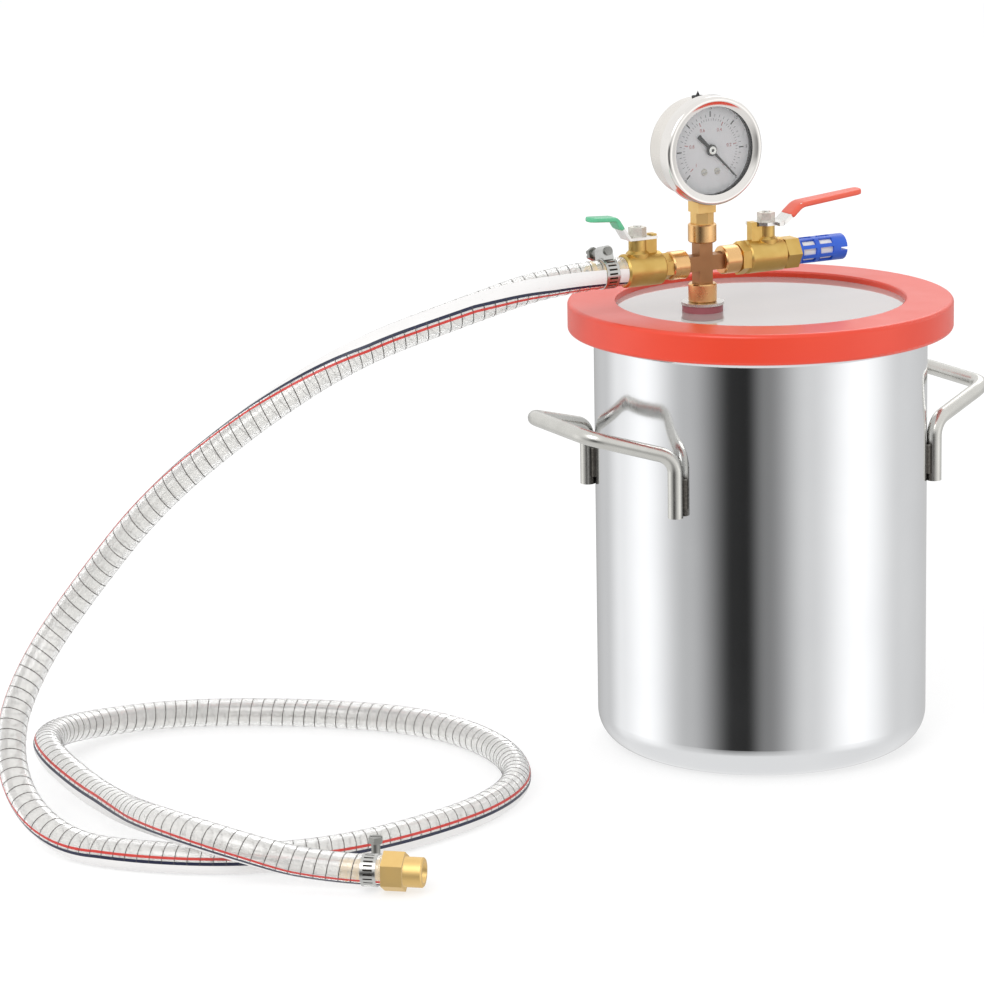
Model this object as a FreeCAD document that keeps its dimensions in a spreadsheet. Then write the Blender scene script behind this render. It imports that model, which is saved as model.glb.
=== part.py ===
import FreeCAD, Part
import math
import os
from types import SimpleNamespace

import Sketcher

os.makedirs("parts", exist_ok=True)
doc = FreeCAD.newDocument("VacuumChamber")

# The object is a two-gallon vacuum chamber: a deep-drawn steel pot with two rod handles, a clear lid
# in a U-shaped silicone ring, and a brass manifold with a gauge, two ball valves, a silencer and a hose.
# Frame: millimetres, +Z up, origin at the centre of the pot's base, +X along the manifold towards the
# silencer, and the gauge faces -Y.
DIMENSIONS = {
    # Pot
    "pot_radius": 100,
    "pot_height": 255,
    "pot_wall": 1,
    "pot_corner": 20,
    # Rod handles welded to the wall
    "rod_radius": 4.5,
    "foot_angle": 30,
    "foot_bottom": 160,
    "foot_top": 196,
    "grip_reach": 139,
    "grip_half_width": 34.5,
    "grip_height": 210.5,
    "foot_bend": 12,
    "grip_bend": 14,
    "weld_radius": 2.6,
    "weld_length": 18,
    "weld_rise": 5,
    # Silicone ring and lid
    "ring_radius": 115.5,
    "ring_wall": 4,
    "ring_upper_opening": 86.6,
    "ring_lower_opening": 91,
    "ring_upper_lip": 3.7,
    "ring_lower_lip": 4.5,
    "ring_outer_round": 2.4,
    "ring_lip_round": 1.2,
    "lid_thickness": 10,
    "lid_chamfer": 0.6,
    # Port through the lid
    "manifold_offset": -40,
    "port_hole_gap": 0.3,
    "stud_radius": 6.5,
    "stud_below_nut": 2,
    "port_seal_radius": 12.2,
    "port_seal_thickness": 4.2,
    "port_washer_radius": 12.8,
    "port_washer_thickness": 1.6,
    "port_nut_flats": 19,
    "port_nut_height": 6,
    # Four-way cross and its couplings
    "pipe_bore": 3,
    "arm_half_width": 4.5,
    "thread_radius": 5.4,
    "thread_gap": 0.05,
    "thread_depth": 5.3,
    "coupling_radius": 8.5,
    "coupling_start": 12.4,
    "coupling_length": 11,
    "coupling_chamfer": 0.7,
    # Ball valves, measured from the stem
    "valve_radius": 10,
    "valve_edge": 1.1,
    "valve_face": 15.3,
    "valve_shoulder": 10.3,
    "neck_length": 5.6,
    "vent_neck_flats": 17.6,
    "hose_neck_flats": 14,
    "cavity_radius": 7.1,
    "cavity_end": 8.6,
    "plug_gap": 0.05,
    "bonnet_radius": 5.25,
    "bonnet_top": 18.1,
    "bonnet_round": 1.6,
    "lug_near": 8,
    "lug_far": 11.6,
    "lug_half_width": 2.8,
    "lug_top": 20.8,
    "ball_radius": 6,
    "ball_bore": 3.5,
    "seat_gap": 0.05,
    "seat_lip": 5.2,
    "stem_radius": 2.4,
    "stem_gap": 0.05,
    "stem_collar_radius": 3.6,
    "stem_collar_high": 8.2,
    "tang_half_width": 1.2,
    "tang_half_length": 3.0,
    "tang_bottom": 4.2,
    "slot_gap": 0.1,
    "packing_radius": 4,
    "packing_low": 12,
    "packing_high": 17.6,
    "nut_flats": 9.4,
    "nut_height": 5.5,
    "stem_above_nut": 0.8,
    "plate_gap": 0.3,
    # Lever plates
    "plate_tail": 6.8,
    "stop_reach": 10.6,
    "stop_gap": 0.3,
    "lever_half_width": 6,
    "grip_corner": 4,
    "vent_plate": 2,
    "vent_root_half_width": 5.8,
    "vent_tip_half_width": 4.1,
    "vent_first_bend": 11,
    "vent_second_bend": 22.5,
    "vent_rise": 9.4,
    "vent_tip_rise": 13.4,
    "vent_lever_length": 66.4,
    "vent_grip_start": 15,
    "vent_coat": 0.9,
    "hose_plate": 1.6,
    "hose_root_half_width": 5.8,
    "hose_tip_half_width": 3.8,
    "hose_first_bend": 8,
    "hose_second_bend": 16.5,
    "hose_rise": 12.8,
    "hose_tip_rise": 13.8,
    "hose_lever_length": 34,
    "hose_grip_start": 12.4,
    "hose_coat": 0.7,
    # Vent valve's hexagon end and the silencer in it
    "hex_end_length": 9.4,
    "hex_end_flats": 17.6,
    "silencer_radius": 7.9,
    "silencer_length": 33,
    "silencer_wall": 1.6,
    "silencer_thread": 6.5,
    "window_first": 2.2,
    "window_length": 9.3,
    "window_spacing": 12,
    "window_width": 3.9,
    "window_count": 8,
    "silencer_cap": 9.4,
    "cap_slot_width": 1.8,
    "cap_slot_depth": 4.5,
    "filter_wall": 1.8,
    "filter_gap": 0.1,
    # Hose, barbs and clamps
    "hose_radius": 8.5,
    "hose_bore": 6,
    "barb_bite": 0.2,
    "barb_drop": 0.9,
    "barb_pitch": 6,
    "barb_count": 4,
    "barb_bore": 3.5,
    "clamp_width": 8.6,
    "clamp_band": 0.7,
    "clamp_slot_count": 22,
    "clamp_slot_length": 5.4,
    "clamp_slot_width": 1.1,
    "clamp_at_valve": 10.75,
    "clamp_tilt": 14,
    "clamp_at_end": 7.5,
    "worm_radius": 2.5,
    "worm_length": 18,
    "worm_reach": 11.5,
    "worm_head_flats": 7,
    "worm_head_length": 3.6,
    "worm_slot": 1,
    "housing_wall": 0.9,
    "housing_length": 10,
    # Hose end fitting
    "end_hex_flats": 20,
    "end_hex_length": 12,
    "end_socket_radius": 8.4,
    "end_socket_length": 10.6,
    "end_thread_radius": 5.7,
    "end_thread_depth": 9,
    "end_chamfer": 0.7,
    "end_lift": 0.2,
    # Gauge, measured along its own axis from the manifold's plane
    "gauge_rise": 68.4,
    "case_radius": 29.4,
    "case_wall": 1.2,
    "case_back": 12,
    "case_front": 12.4,
    "case_round": 3,
    "bezel_radius": 32.3,
    "bezel_gap": 0.05,
    "bezel_clearance": 0.3,
    "bezel_front": 16.2,
    "bezel_opening": 26.2,
    "bezel_round": 1.4,
    "lens_gap": 0.3,
    "lens_thickness": 2.2,
    "dial_radius": 28,
    "dial_front": 9.1,
    "dial_thickness": 0.6,
    "dial_hole": 1.6,
    "needle_back": 10.3,
    "needle_thickness": 0.5,
    "needle_reach": 23.6,
    "needle_tip_half_width": 0.25,
    "needle_root_half_width": 0.8,
    "needle_tail": 12.4,
    "needle_tail_half_width": 1.3,
    "needle_rest_angle": -45,
    "hub_radius": 2.6,
    "hub_front": 12.1,
    "arbor_radius": 0.8,
    "arbor_gap": 0.05,
    "arbor_back": 1.5,
    "movement_half_width": 9,
    "movement_half_height": 6,
    "movement_back": 0.5,
    "movement_plate": 1,
    "movement_post": 2,
    "movement_foot_half_width": 3.5,
    "tube_ring_radius": 20,
    "tube_radius": 1.8,
    "tube_level": 2.4,
    "tube_start": -79,
    "tube_sweep": 255,
    "socket_flats": 12,
    "socket_bottom": 30.2,
    "socket_neck_flats": 12,
    "socket_inner_flats": 9,
    "socket_top": 52.4,
    "socket_hole_gap": 0.1,
    "fill_plug_radius": 3.6,
    "fill_hole_radius": 2.6,
    "fill_plug_flange": 1,
    "fill_plug_tip": 4,
    "fill_plug_back": 4,
}


class Size(float):
    """A number that also keeps the sheet formula it came from, so that features can be bound to it."""

    def __new__(cls, value, formula):
        size = float.__new__(cls, value)
        size.formula = formula
        return size

    def __add__(self, other):
        return Size(float(self) + float(other), "(%s + %s)" % (formula_of(self), formula_of(other)))

    def __radd__(self, other):
        return Size(float(other) + float(self), "(%s + %s)" % (formula_of(other), formula_of(self)))

    def __sub__(self, other):
        return Size(float(self) - float(other), "(%s - %s)" % (formula_of(self), formula_of(other)))

    def __rsub__(self, other):
        return Size(float(other) - float(self), "(%s - %s)" % (formula_of(other), formula_of(self)))

    def __mul__(self, other):
        return Size(float(self) * float(other), "(%s * %s)" % (formula_of(self), formula_of(other)))

    def __rmul__(self, other):
        return Size(float(other) * float(self), "(%s * %s)" % (formula_of(other), formula_of(self)))

    def __truediv__(self, other):
        return Size(float(self) / float(other), "(%s / %s)" % (formula_of(self), formula_of(other)))

    def __neg__(self):
        return Size(-float(self), "(0 - %s)" % formula_of(self))


def formula_of(number):
    """The sheet formula of a Size, or the plain number as text."""
    if isinstance(number, Size):
        return number.formula
    return repr(float(number))


def fill_sheet(dimensions):
    """Writes the driving dimensions to the sheet and gives back one Size for each."""
    sheet = doc.addObject("Spreadsheet::Sheet", "Sizes")
    sizes = {}
    for row, (name, value) in enumerate(dimensions.items(), start=1):
        sheet.set("A%d" % row, name)
        sheet.set("B%d" % row, str(value))
        sheet.setAlias("B%d" % row, name)
        sizes[name] = Size(value, "Sizes." + name)
    doc.recompute()
    return SimpleNamespace(**sizes)


d = fill_sheet(DIMENSIONS)

HALF = 0.5
FULL_TURN = 360
HEX_CORNER = 1 / math.sqrt(3)
DIAGONAL = math.sqrt(2)
UPRIGHT = FreeCAD.Rotation()
TURNED_BACK = FreeCAD.Rotation(FreeCAD.Vector(0, 0, 1), 180)
FACING_FRONT = FreeCAD.Rotation(FreeCAD.Vector(1, 0, 0), 90)

# Heights and distances that several pieces share
lid_bottom = d.pot_height + d.ring_lower_lip
lid_top = lid_bottom + d.lid_thickness
lid_radius = d.ring_radius - d.ring_wall
ring_height = d.ring_lower_lip + d.lid_thickness + d.ring_upper_lip
coupling_end = d.coupling_start + d.coupling_length
axis_height = lid_top + d.port_seal_thickness + d.port_washer_thickness + coupling_end
thread_stop = coupling_end - d.thread_depth
arm_end = d.coupling_start + d.thread_depth
thread_bore = d.thread_radius + d.thread_gap
stem_offset = coupling_end + d.neck_length + d.valve_face
plate_bottom = d.bonnet_top + d.plate_gap
gauge_height = axis_height + d.gauge_rise
vent_stem_place = (d.manifold_offset + stem_offset, 0, axis_height)
hose_stem_place = (d.manifold_offset - stem_offset, 0, axis_height)
gauge_place = (d.manifold_offset, 0, gauge_height)


# Modelling steps


def bind(thing, path, number):
    """Binds one property or constraint to the sheet when the number comes from it."""
    if isinstance(number, Size):
        thing.setExpression(path, number.formula)


def new_body(label, base=(0, 0, 0), rotation=UPRIGHT):
    """A named body placed in the row's frame."""
    body = doc.addObject("PartDesign::Body", label)
    body.Label = label
    put(body, base, rotation)
    return body


def put(thing, base, rotation=UPRIGHT):
    """Places an object and binds its place to the sheet."""
    thing.Placement = FreeCAD.Placement(FreeCAD.Vector(*[float(n) for n in base]), rotation)
    for axis, number in zip("xyz", base):
        bind(thing, "Placement.Base." + axis, number)


def origin_item(body, role):
    return [item for item in body.Origin.OriginFeatures if item.Role == role][0]


def new_sketch(body, plane, level=0):
    """An empty sketch on one of the body's own origin planes, raised along the plane's normal."""
    sketch = body.newObject("Sketcher::SketchObject", body.Label + "_sketch")
    sketch.AttachmentSupport = [(origin_item(body, plane), "")]
    sketch.MapMode = "FlatFace"
    sketch.AttachmentOffset = FreeCAD.Placement(FreeCAD.Vector(0, 0, float(level)), FreeCAD.Rotation())
    bind(sketch, "AttachmentOffset.Base.z", level)
    return sketch


def fix_point(sketch, edge, point, across, up):
    """Ties one point of a sketch edge to its two coordinates."""
    for kind, number in (("DistanceX", across), ("DistanceY", up)):
        made = Sketcher.Constraint(kind, -1, 1, edge, point, float(number))
        bind(sketch, "Constraints[%d]" % sketch.addConstraint(made), number)


def draw_corners(sketch, corners):
    """A closed outline of straight edges through the given corners."""
    first = sketch.GeometryCount
    count = len(corners)
    for place, (across, up) in enumerate(corners):
        next_across, next_up = corners[(place + 1) % count]
        start = FreeCAD.Vector(float(across), float(up), 0)
        end = FreeCAD.Vector(float(next_across), float(next_up), 0)
        sketch.addGeometry(Part.LineSegment(start, end))
    for place in range(count):
        following = first + (place + 1) % count
        sketch.addConstraint(Sketcher.Constraint("Coincident", first + place, 2, following, 1))
    for place, (across, up) in enumerate(corners):
        fix_point(sketch, first + place, 1, across, up)


def draw_circle(sketch, radius, across=0, up=0):
    centre = FreeCAD.Vector(float(across), float(up), 0)
    edge = sketch.addGeometry(Part.Circle(centre, FreeCAD.Vector(0, 0, 1), float(radius)))
    made = sketch.addConstraint(Sketcher.Constraint("Radius", edge, float(radius)))
    bind(sketch, "Constraints[%d]" % made, radius)
    fix_point(sketch, edge, 3, across, up)


def rectangle(low_across, high_across, low_up, high_up):
    return [(low_across, low_up), (high_across, low_up), (high_across, high_up), (low_across, high_up)]


def hexagon(flats):
    """Corners of a hexagon of this width across flats, with one corner up."""
    side = flats * HALF
    long_corner = flats * HEX_CORNER
    short_corner = long_corner * HALF
    return [(side, short_corner), (0, long_corner), (-side, short_corner),
            (-side, -short_corner), (0, -long_corner), (side, -short_corner)]


def turned(body, corners, about="V_Axis", cut=False):
    """Revolves an outline drawn on the XZ plane, as added or as removed material."""
    sketch = new_sketch(body, "XZ_Plane")
    draw_corners(sketch, corners)
    kind = "PartDesign::Groove" if cut else "PartDesign::Revolution"
    feature = body.newObject(kind, body.Label + "_turn")
    feature.Profile = sketch
    feature.ReferenceAxis = (sketch, [about])
    feature.Angle = FULL_TURN
    return feature


def extruded(body, sketch, length, cut=False, both_ways=False, reverse=False):
    """Pads or pockets a sketch by a length."""
    feature = body.newObject("PartDesign::Pocket" if cut else "PartDesign::Pad", body.Label + "_step")
    feature.Profile = sketch
    feature.Length = float(length)
    bind(feature, "Length", length)
    if both_ways:
        feature.SideType = "Symmetric"
    feature.Reversed = reverse
    return feature


def padded(body, plane, corners, length, level=0, cut=False, both_ways=False, reverse=False):
    sketch = new_sketch(body, plane, level)
    draw_corners(sketch, corners)
    return extruded(body, sketch, length, cut, both_ways, reverse)


def padded_round(body, plane, radius, length, level=0, across=0, up=0, cut=False, reverse=False):
    sketch = new_sketch(body, plane, level)
    draw_circle(sketch, radius, across, up)
    return extruded(body, sketch, length, cut, False, reverse)


def repeated(body, features, axis, count):
    """Polar pattern of features about one of the body's origin axes."""
    pattern = body.newObject("PartDesign::PolarPattern", body.Label + "_pattern")
    pattern.Originals = features
    pattern.Axis = (origin_item(body, axis), [""])
    pattern.Angle = FULL_TURN
    pattern.Occurrences = int(count)
    bind(pattern, "Occurrences", count)
    body.Tip = pattern
    return pattern


def rims(feature, wanted):
    """Names of the circular edges with the wanted radius and height along the turning axis."""
    doc.recompute()
    names = []
    for number, edge in enumerate(feature.Shape.Edges, start=1):
        if not isinstance(edge.Curve, Part.Circle):
            continue
        centre = edge.Curve.Center
        along = centre.dot(edge.Curve.Axis) * (1 if sum(edge.Curve.Axis) > 0 else -1)
        for radius, height in wanted:
            if abs(edge.Curve.Radius - radius) < 1e-4 and abs(along - height) < 1e-4:
                names.append("Edge%d" % number)
    return names


def rounded(body, feature, wanted, radius):
    """Fillets the rims with the wanted radii and heights."""
    fillet = body.newObject("PartDesign::Fillet", body.Label + "_round")
    fillet.Base = (feature, rims(feature, wanted))
    fillet.Radius = float(radius)
    bind(fillet, "Radius", radius)
    return fillet


def chamfered(body, feature, wanted, size):
    """Chamfers the rims with the wanted radii and heights."""
    chamfer = body.newObject("PartDesign::Chamfer", body.Label + "_chamfer")
    chamfer.Base = (feature, rims(feature, wanted))
    chamfer.Size = float(size)
    bind(chamfer, "Size", size)
    return chamfer


def ring(label, outer, inner, height, base, rotation=UPRIGHT):
    """A plain washer-shaped piece standing on its base point."""
    body = new_body(label, base, rotation)
    turned(body, rectangle(inner, outer, 0, height))
    return body


def rounded_path(points, bend_radii):
    """Straight runs joined by tangent arcs, as one wire."""
    edges = []
    start = points[0]
    for before, corner, after, radius in zip(points, points[1:], points[2:], bend_radii):
        back = (before - corner).normalize()
        onward = (after - corner).normalize()
        half_turn = (math.pi - back.getAngle(onward)) * HALF
        reach = radius * math.tan(half_turn)
        arc_start = corner + back * reach
        arc_end = corner + onward * reach
        middle_way = (back + onward).normalize()
        arc_middle = corner + middle_way * (radius / math.cos(half_turn) - radius)
        edges.append(Part.LineSegment(start, arc_start).toShape())
        edges.append(Part.Arc(arc_start, arc_middle, arc_end).toShape())
        start = arc_end
    edges.append(Part.LineSegment(start, points[-1]).toShape())
    return Part.Wire(edges)


def swept_round(wire, radius):
    """A solid round bar of this radius along a wire."""
    first = wire.Edges[0]
    heading = first.tangentAt(first.FirstParameter)
    section = Part.Wire(Part.makeCircle(radius, first.valueAt(first.FirstParameter), heading))
    return wire.makePipeShell([section], True, False)


def shape_object(label, shape):
    """A piece whose shape comes from a bent path, which sketches in one plane can't hold."""
    piece = doc.addObject("Part::Feature", label)
    piece.Label = label
    piece.Shape = shape
    piece.Placement = FreeCAD.Placement()
    return piece


pieces = []


def keep(*made):
    pieces.extend(made)


# Pot, deep-drawn from one sheet


def make_pot():
    pot = new_body("pot")
    inner = d.pot_radius - d.pot_wall
    shell = turned(pot, [
        (0, 0), (d.pot_radius, 0), (d.pot_radius, d.pot_height),
        (inner, d.pot_height), (inner, d.pot_wall), (0, d.pot_wall),
    ])
    outside = rounded(pot, shell, [(d.pot_radius, 0)], d.pot_corner)
    rounded(pot, outside, [(inner, d.pot_wall)], d.pot_corner - d.pot_wall)
    keep(pot)


# Handles, each one bent rod with its two feet welded upright to the wall


def make_handle(label, side):
    foot_distance = d.pot_radius + d.rod_radius
    foot_x = side * foot_distance * math.cos(math.radians(d.foot_angle))
    foot_y = foot_distance * math.sin(math.radians(d.foot_angle))
    points = [
        FreeCAD.Vector(foot_x, -foot_y, d.foot_bottom),
        FreeCAD.Vector(foot_x, -foot_y, d.foot_top),
        FreeCAD.Vector(side * d.grip_reach, -d.grip_half_width, d.grip_height),
        FreeCAD.Vector(side * d.grip_reach, d.grip_half_width, d.grip_height),
        FreeCAD.Vector(foot_x, foot_y, d.foot_top),
        FreeCAD.Vector(foot_x, foot_y, d.foot_bottom),
    ]
    path = rounded_path(points, [d.foot_bend, d.grip_bend, d.grip_bend, d.foot_bend])
    solid = swept_round(path, d.rod_radius)
    spread = math.degrees(math.atan2(float(d.rod_radius) - float(d.weld_radius) * HALF, float(d.pot_radius)))
    for foot_side in (-1, 1):
        for weld_side in (-1, 1):
            turn = math.radians(foot_side * (d.foot_angle + weld_side * spread))
            centre_x = side * d.pot_radius * math.cos(turn)
            base = FreeCAD.Vector(centre_x, d.pot_radius * math.sin(turn), d.foot_bottom + d.weld_rise)
            weld = Part.makeCylinder(float(d.weld_radius), float(d.weld_length), base)
            solid = solid.fuse(weld)
    wall = Part.makeCylinder(float(d.pot_radius), float(d.pot_height))
    keep(shape_object(label, solid.cut(wall).removeSplitter()))


# Silicone ring, a U-shaped channel that the lid's edge sits in


def make_lid_gasket():
    gasket = new_body("lid_gasket", (0, 0, d.pot_height))
    channel_top = d.ring_lower_lip + d.lid_thickness
    profile = turned(gasket, [
        (d.ring_lower_opening, 0), (d.ring_radius, 0), (d.ring_radius, ring_height),
        (d.ring_upper_opening, ring_height), (d.ring_upper_opening, channel_top),
        (lid_radius, channel_top), (lid_radius, d.ring_lower_lip), (d.ring_lower_opening, d.ring_lower_lip),
    ])
    outside = rounded(gasket, profile, [(d.ring_radius, 0), (d.ring_radius, ring_height)], d.ring_outer_round)
    rounded(gasket, outside, [(d.ring_upper_opening, ring_height)], d.ring_lip_round)
    keep(gasket)


def make_lid():
    lid = new_body("lid_plate", (0, 0, lid_bottom))
    plate = turned(lid, rectangle(0, lid_radius, 0, d.lid_thickness))
    edges = [(lid_radius, 0), (lid_radius, d.lid_thickness)]
    chamfered(lid, plate, edges, d.lid_chamfer)
    hole = d.stud_radius + d.port_hole_gap
    padded_round(lid, "XY_Plane", hole, d.lid_thickness, across=d.manifold_offset, cut=True, reverse=True)
    keep(lid)


# Port: hollow stud clamped through the lid between washers and silicone seals


def make_port():
    here = d.manifold_offset
    seal_bore = d.stud_radius + d.thread_gap
    below_seal = lid_bottom - d.port_seal_thickness
    below_washer = below_seal - d.port_washer_thickness
    nut_bottom = below_washer - d.port_nut_height
    above_seal = lid_top + d.port_seal_thickness
    keep(ring("port_seal_upper", d.port_seal_radius, seal_bore, d.port_seal_thickness, (here, 0, lid_top)))
    keep(ring("port_washer_upper", d.port_washer_radius, seal_bore, d.port_washer_thickness,
              (here, 0, above_seal)))
    keep(ring("port_seal_lower", d.port_seal_radius, seal_bore, d.port_seal_thickness, (here, 0, below_seal)))
    keep(ring("port_washer_lower", d.port_washer_radius, seal_bore, d.port_washer_thickness,
              (here, 0, below_washer)))

    nut = new_body("port_nut", (here, 0, nut_bottom))
    padded(nut, "XY_Plane", hexagon(d.port_nut_flats), d.port_nut_height)
    turned(nut, rectangle(0, seal_bore, 0, d.port_nut_height), cut=True)
    keep(nut)

    stud = new_body("port_stud", (here, 0, nut_bottom - d.stud_below_nut))
    collar = above_seal + d.port_washer_thickness - nut_bottom + d.stud_below_nut
    turned(stud, [
        (d.pipe_bore, 0), (d.stud_radius, 0), (d.stud_radius, collar), (d.thread_radius, collar),
        (d.thread_radius, collar + d.thread_depth), (d.pipe_bore, collar + d.thread_depth),
    ])
    keep(stud)


# Four-way cross with a coupling on each arm


def make_cross():
    cross = new_body("cross_body", (d.manifold_offset, 0, axis_height))
    shoulder = d.coupling_start
    arm = d.arm_half_width
    padded(cross, "XZ_Plane", [
        (-arm, -shoulder), (arm, -shoulder), (arm, -arm), (shoulder, -arm), (shoulder, arm), (arm, arm),
        (arm, shoulder), (-arm, shoulder), (-arm, arm), (-shoulder, arm), (-shoulder, -arm), (-arm, -arm),
    ], arm * 2, both_ways=True)
    for near, far in ((-arm_end, -shoulder), (shoulder, arm_end)):
        turned(cross, rectangle(0, d.thread_radius, near, far))
        turned(cross, rectangle(near, far, 0, d.thread_radius), about="H_Axis")
    turned(cross, rectangle(0, d.pipe_bore, -arm_end, arm_end), cut=True)
    turned(cross, rectangle(-arm_end, arm_end, 0, d.pipe_bore), about="H_Axis", cut=True)
    keep(cross)


def make_coupling(label, heading):
    """One threaded sleeve, drawn upright and swung to its arm's heading."""
    rotation = FreeCAD.Rotation(FreeCAD.Vector(0, 1, 0), heading)
    coupling = new_body(label, (d.manifold_offset, 0, axis_height), rotation)
    sleeve = turned(coupling, rectangle(thread_bore, d.coupling_radius, d.coupling_start, coupling_end))
    edges = [(d.coupling_radius, d.coupling_start), (d.coupling_radius, coupling_end)]
    chamfered(coupling, sleeve, edges, d.coupling_chamfer)
    keep(coupling)


# Ball valves, drawn with the pipe along X and the stem up, pointing away from the cross


def valve_casting(label, place, rotation):
    """The body's forging up to its outer shoulder: barrel, bonnet, lever stop and cavity."""
    body = new_body(label, place, rotation)
    inner_edge = d.valve_radius - d.valve_edge
    turned(body, [
        (-d.valve_face, 0), (-d.valve_face, inner_edge), (d.valve_edge - d.valve_face, d.valve_radius),
        (d.valve_shoulder - d.valve_edge, d.valve_radius), (d.valve_shoulder, inner_edge),
        (d.valve_shoulder, 0),
    ], about="H_Axis")
    flare = d.bonnet_radius + d.bonnet_round
    turned(body, [
        (0, 0), (flare, 0), (flare, d.valve_radius),
        (d.bonnet_radius, d.valve_radius + d.bonnet_round), (d.bonnet_radius, d.bonnet_top),
        (0, d.bonnet_top),
    ])
    padded(body, "XY_Plane", rectangle(-d.lug_far, 0, -d.lug_half_width, d.lug_half_width), d.bonnet_top)
    padded(body, "XY_Plane", rectangle(-d.lug_far, -d.lug_near, -d.lug_half_width, d.lug_half_width),
           d.lug_top)
    return body


def hollow_out(body):
    """Cuts the cavity, the passage's start and the stem's stepped hole, once the outside is whole."""
    turned(body, rectangle(-d.valve_face, d.cavity_end, 0, d.cavity_radius), about="H_Axis", cut=True)
    stem_hole = d.stem_radius + d.stem_gap
    collar_hole = d.stem_collar_radius + d.stem_gap
    collar_top = d.stem_collar_high + d.stem_gap
    turned(body, [
        (0, 0), (collar_hole, 0), (collar_hole, collar_top), (stem_hole, collar_top),
        (stem_hole, d.packing_low), (d.packing_radius, d.packing_low), (d.packing_radius, d.bonnet_top),
        (0, d.bonnet_top),
    ], cut=True)


def barb_corners(start):
    """Saw-tooth outline of a barbed spigot from its shoulder at start, from the axis back to the axis."""
    crest = d.hose_bore + d.barb_bite
    valley = crest - d.barb_drop
    corners = [(start, 0), (start, valley)]
    for tooth in range(int(d.barb_count)):
        root = start + d.barb_pitch * tooth + d.barb_pitch * HALF * HALF
        corners.append((root, valley))
        corners.append((root, crest))
        corners.append((root + d.barb_pitch * HALF, valley))
    tip = start + d.barb_pitch * d.barb_count
    return corners + [(tip, valley), (tip, 0)]


def make_vent_body():
    body = valve_casting("vent_valve_body", vent_stem_place, UPRIGHT)
    flat_up = [(up, across) for across, up in hexagon(d.hex_end_flats)]
    padded(body, "YZ_Plane", flat_up, d.hex_end_length, level=d.valve_shoulder)
    hollow_out(body)
    end = d.valve_shoulder + d.hex_end_length
    thread_end = end - d.silencer_thread - d.thread_gap
    turned(body, [
        (0, 0), (end, 0), (end, thread_bore), (thread_end, thread_bore),
        (thread_end, d.ball_bore), (0, d.ball_bore),
    ], about="H_Axis", cut=True)
    keep(body)


def make_hose_body():
    body = valve_casting("hose_valve_body", hose_stem_place, TURNED_BACK)
    turned(body, barb_corners(d.valve_shoulder), about="H_Axis")
    hollow_out(body)
    tip = d.valve_shoulder + d.barb_pitch * d.barb_count
    turned(body, rectangle(0, tip, 0, d.barb_bore), about="H_Axis", cut=True)
    keep(body)


def make_valve_insides(valve, place, rotation):
    """End piece, seats, ball, stem, packing and lever nut, alike in both valves."""
    end_piece = new_body(valve + "_valve_end_piece", place, rotation)
    neck_start = d.valve_face + d.neck_length
    plug = d.cavity_radius - d.plug_gap
    turned(end_piece, rectangle(-neck_start - d.thread_depth, -neck_start, 0, d.thread_radius), about="H_Axis")
    neck_flats = d.vent_neck_flats if valve == "vent" else d.hose_neck_flats
    padded(end_piece, "YZ_Plane", hexagon(neck_flats), d.neck_length, level=-neck_start)
    turned(end_piece, rectangle(-d.valve_face, -d.cavity_end, 0, plug), about="H_Axis")
    turned(end_piece, rectangle(-neck_start - d.thread_depth, -d.cavity_end, 0, d.ball_bore),
           about="H_Axis", cut=True)
    keep(end_piece)

    contact = (d.ball_radius + d.seat_gap) * DIAGONAL
    for name, side in (("near", -1), ("far", 1)):
        seat = new_body("%s_valve_seat_%s" % (valve, name), place, rotation)
        turned(seat, [
            (side * d.cavity_end, d.ball_bore), (side * d.cavity_end, plug),
            (side * (contact - d.seat_lip), plug), (side * (contact - d.seat_lip), d.seat_lip),
            (side * (contact - d.ball_bore), d.ball_bore),
        ], about="H_Axis")
        keep(seat)

    ball = new_body(valve + "_valve_ball", place, rotation)
    sphere = ball.newObject("PartDesign::AdditiveSphere", ball.Label + "_sphere")
    sphere.Radius = float(d.ball_radius)
    bind(sphere, "Radius", d.ball_radius)
    turned(ball, rectangle(-d.ball_radius, d.ball_radius, 0, d.ball_bore), about="H_Axis", cut=True)
    slot = d.tang_half_width + d.slot_gap
    padded(ball, "XY_Plane", rectangle(-slot, slot, -d.ball_radius, d.ball_radius), d.ball_radius,
           level=d.tang_bottom, cut=True, reverse=True)
    keep(ball)

    stem = new_body(valve + "_valve_stem", place, rotation)
    plate = d.vent_plate if valve == "vent" else d.hose_plate
    stem_top = plate_bottom + plate + d.nut_height + d.stem_above_nut
    turned(stem, [
        (0, d.cavity_radius), (d.stem_collar_radius, d.cavity_radius),
        (d.stem_collar_radius, d.stem_collar_high), (d.stem_radius, d.stem_collar_high),
        (d.stem_radius, stem_top), (0, stem_top),
    ])
    padded(stem, "XY_Plane",
           rectangle(-d.tang_half_width, d.tang_half_width, -d.tang_half_length, d.tang_half_length),
           d.cavity_radius - d.tang_bottom, level=d.tang_bottom)
    keep(stem)

    packing = new_body(valve + "_valve_packing", place, rotation)
    turned(packing, rectangle(d.stem_radius + d.stem_gap, d.packing_radius, d.packing_low, d.packing_high))
    keep(packing)

    nut = new_body(valve + "_lever_nut", place, rotation)
    nut_bottom = plate_bottom + plate
    padded(nut, "XY_Plane", hexagon(d.nut_flats), d.nut_height, level=nut_bottom)
    turned(nut, rectangle(0, d.stem_radius, nut_bottom, nut_bottom + d.nut_height), cut=True)
    keep(nut)


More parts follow.
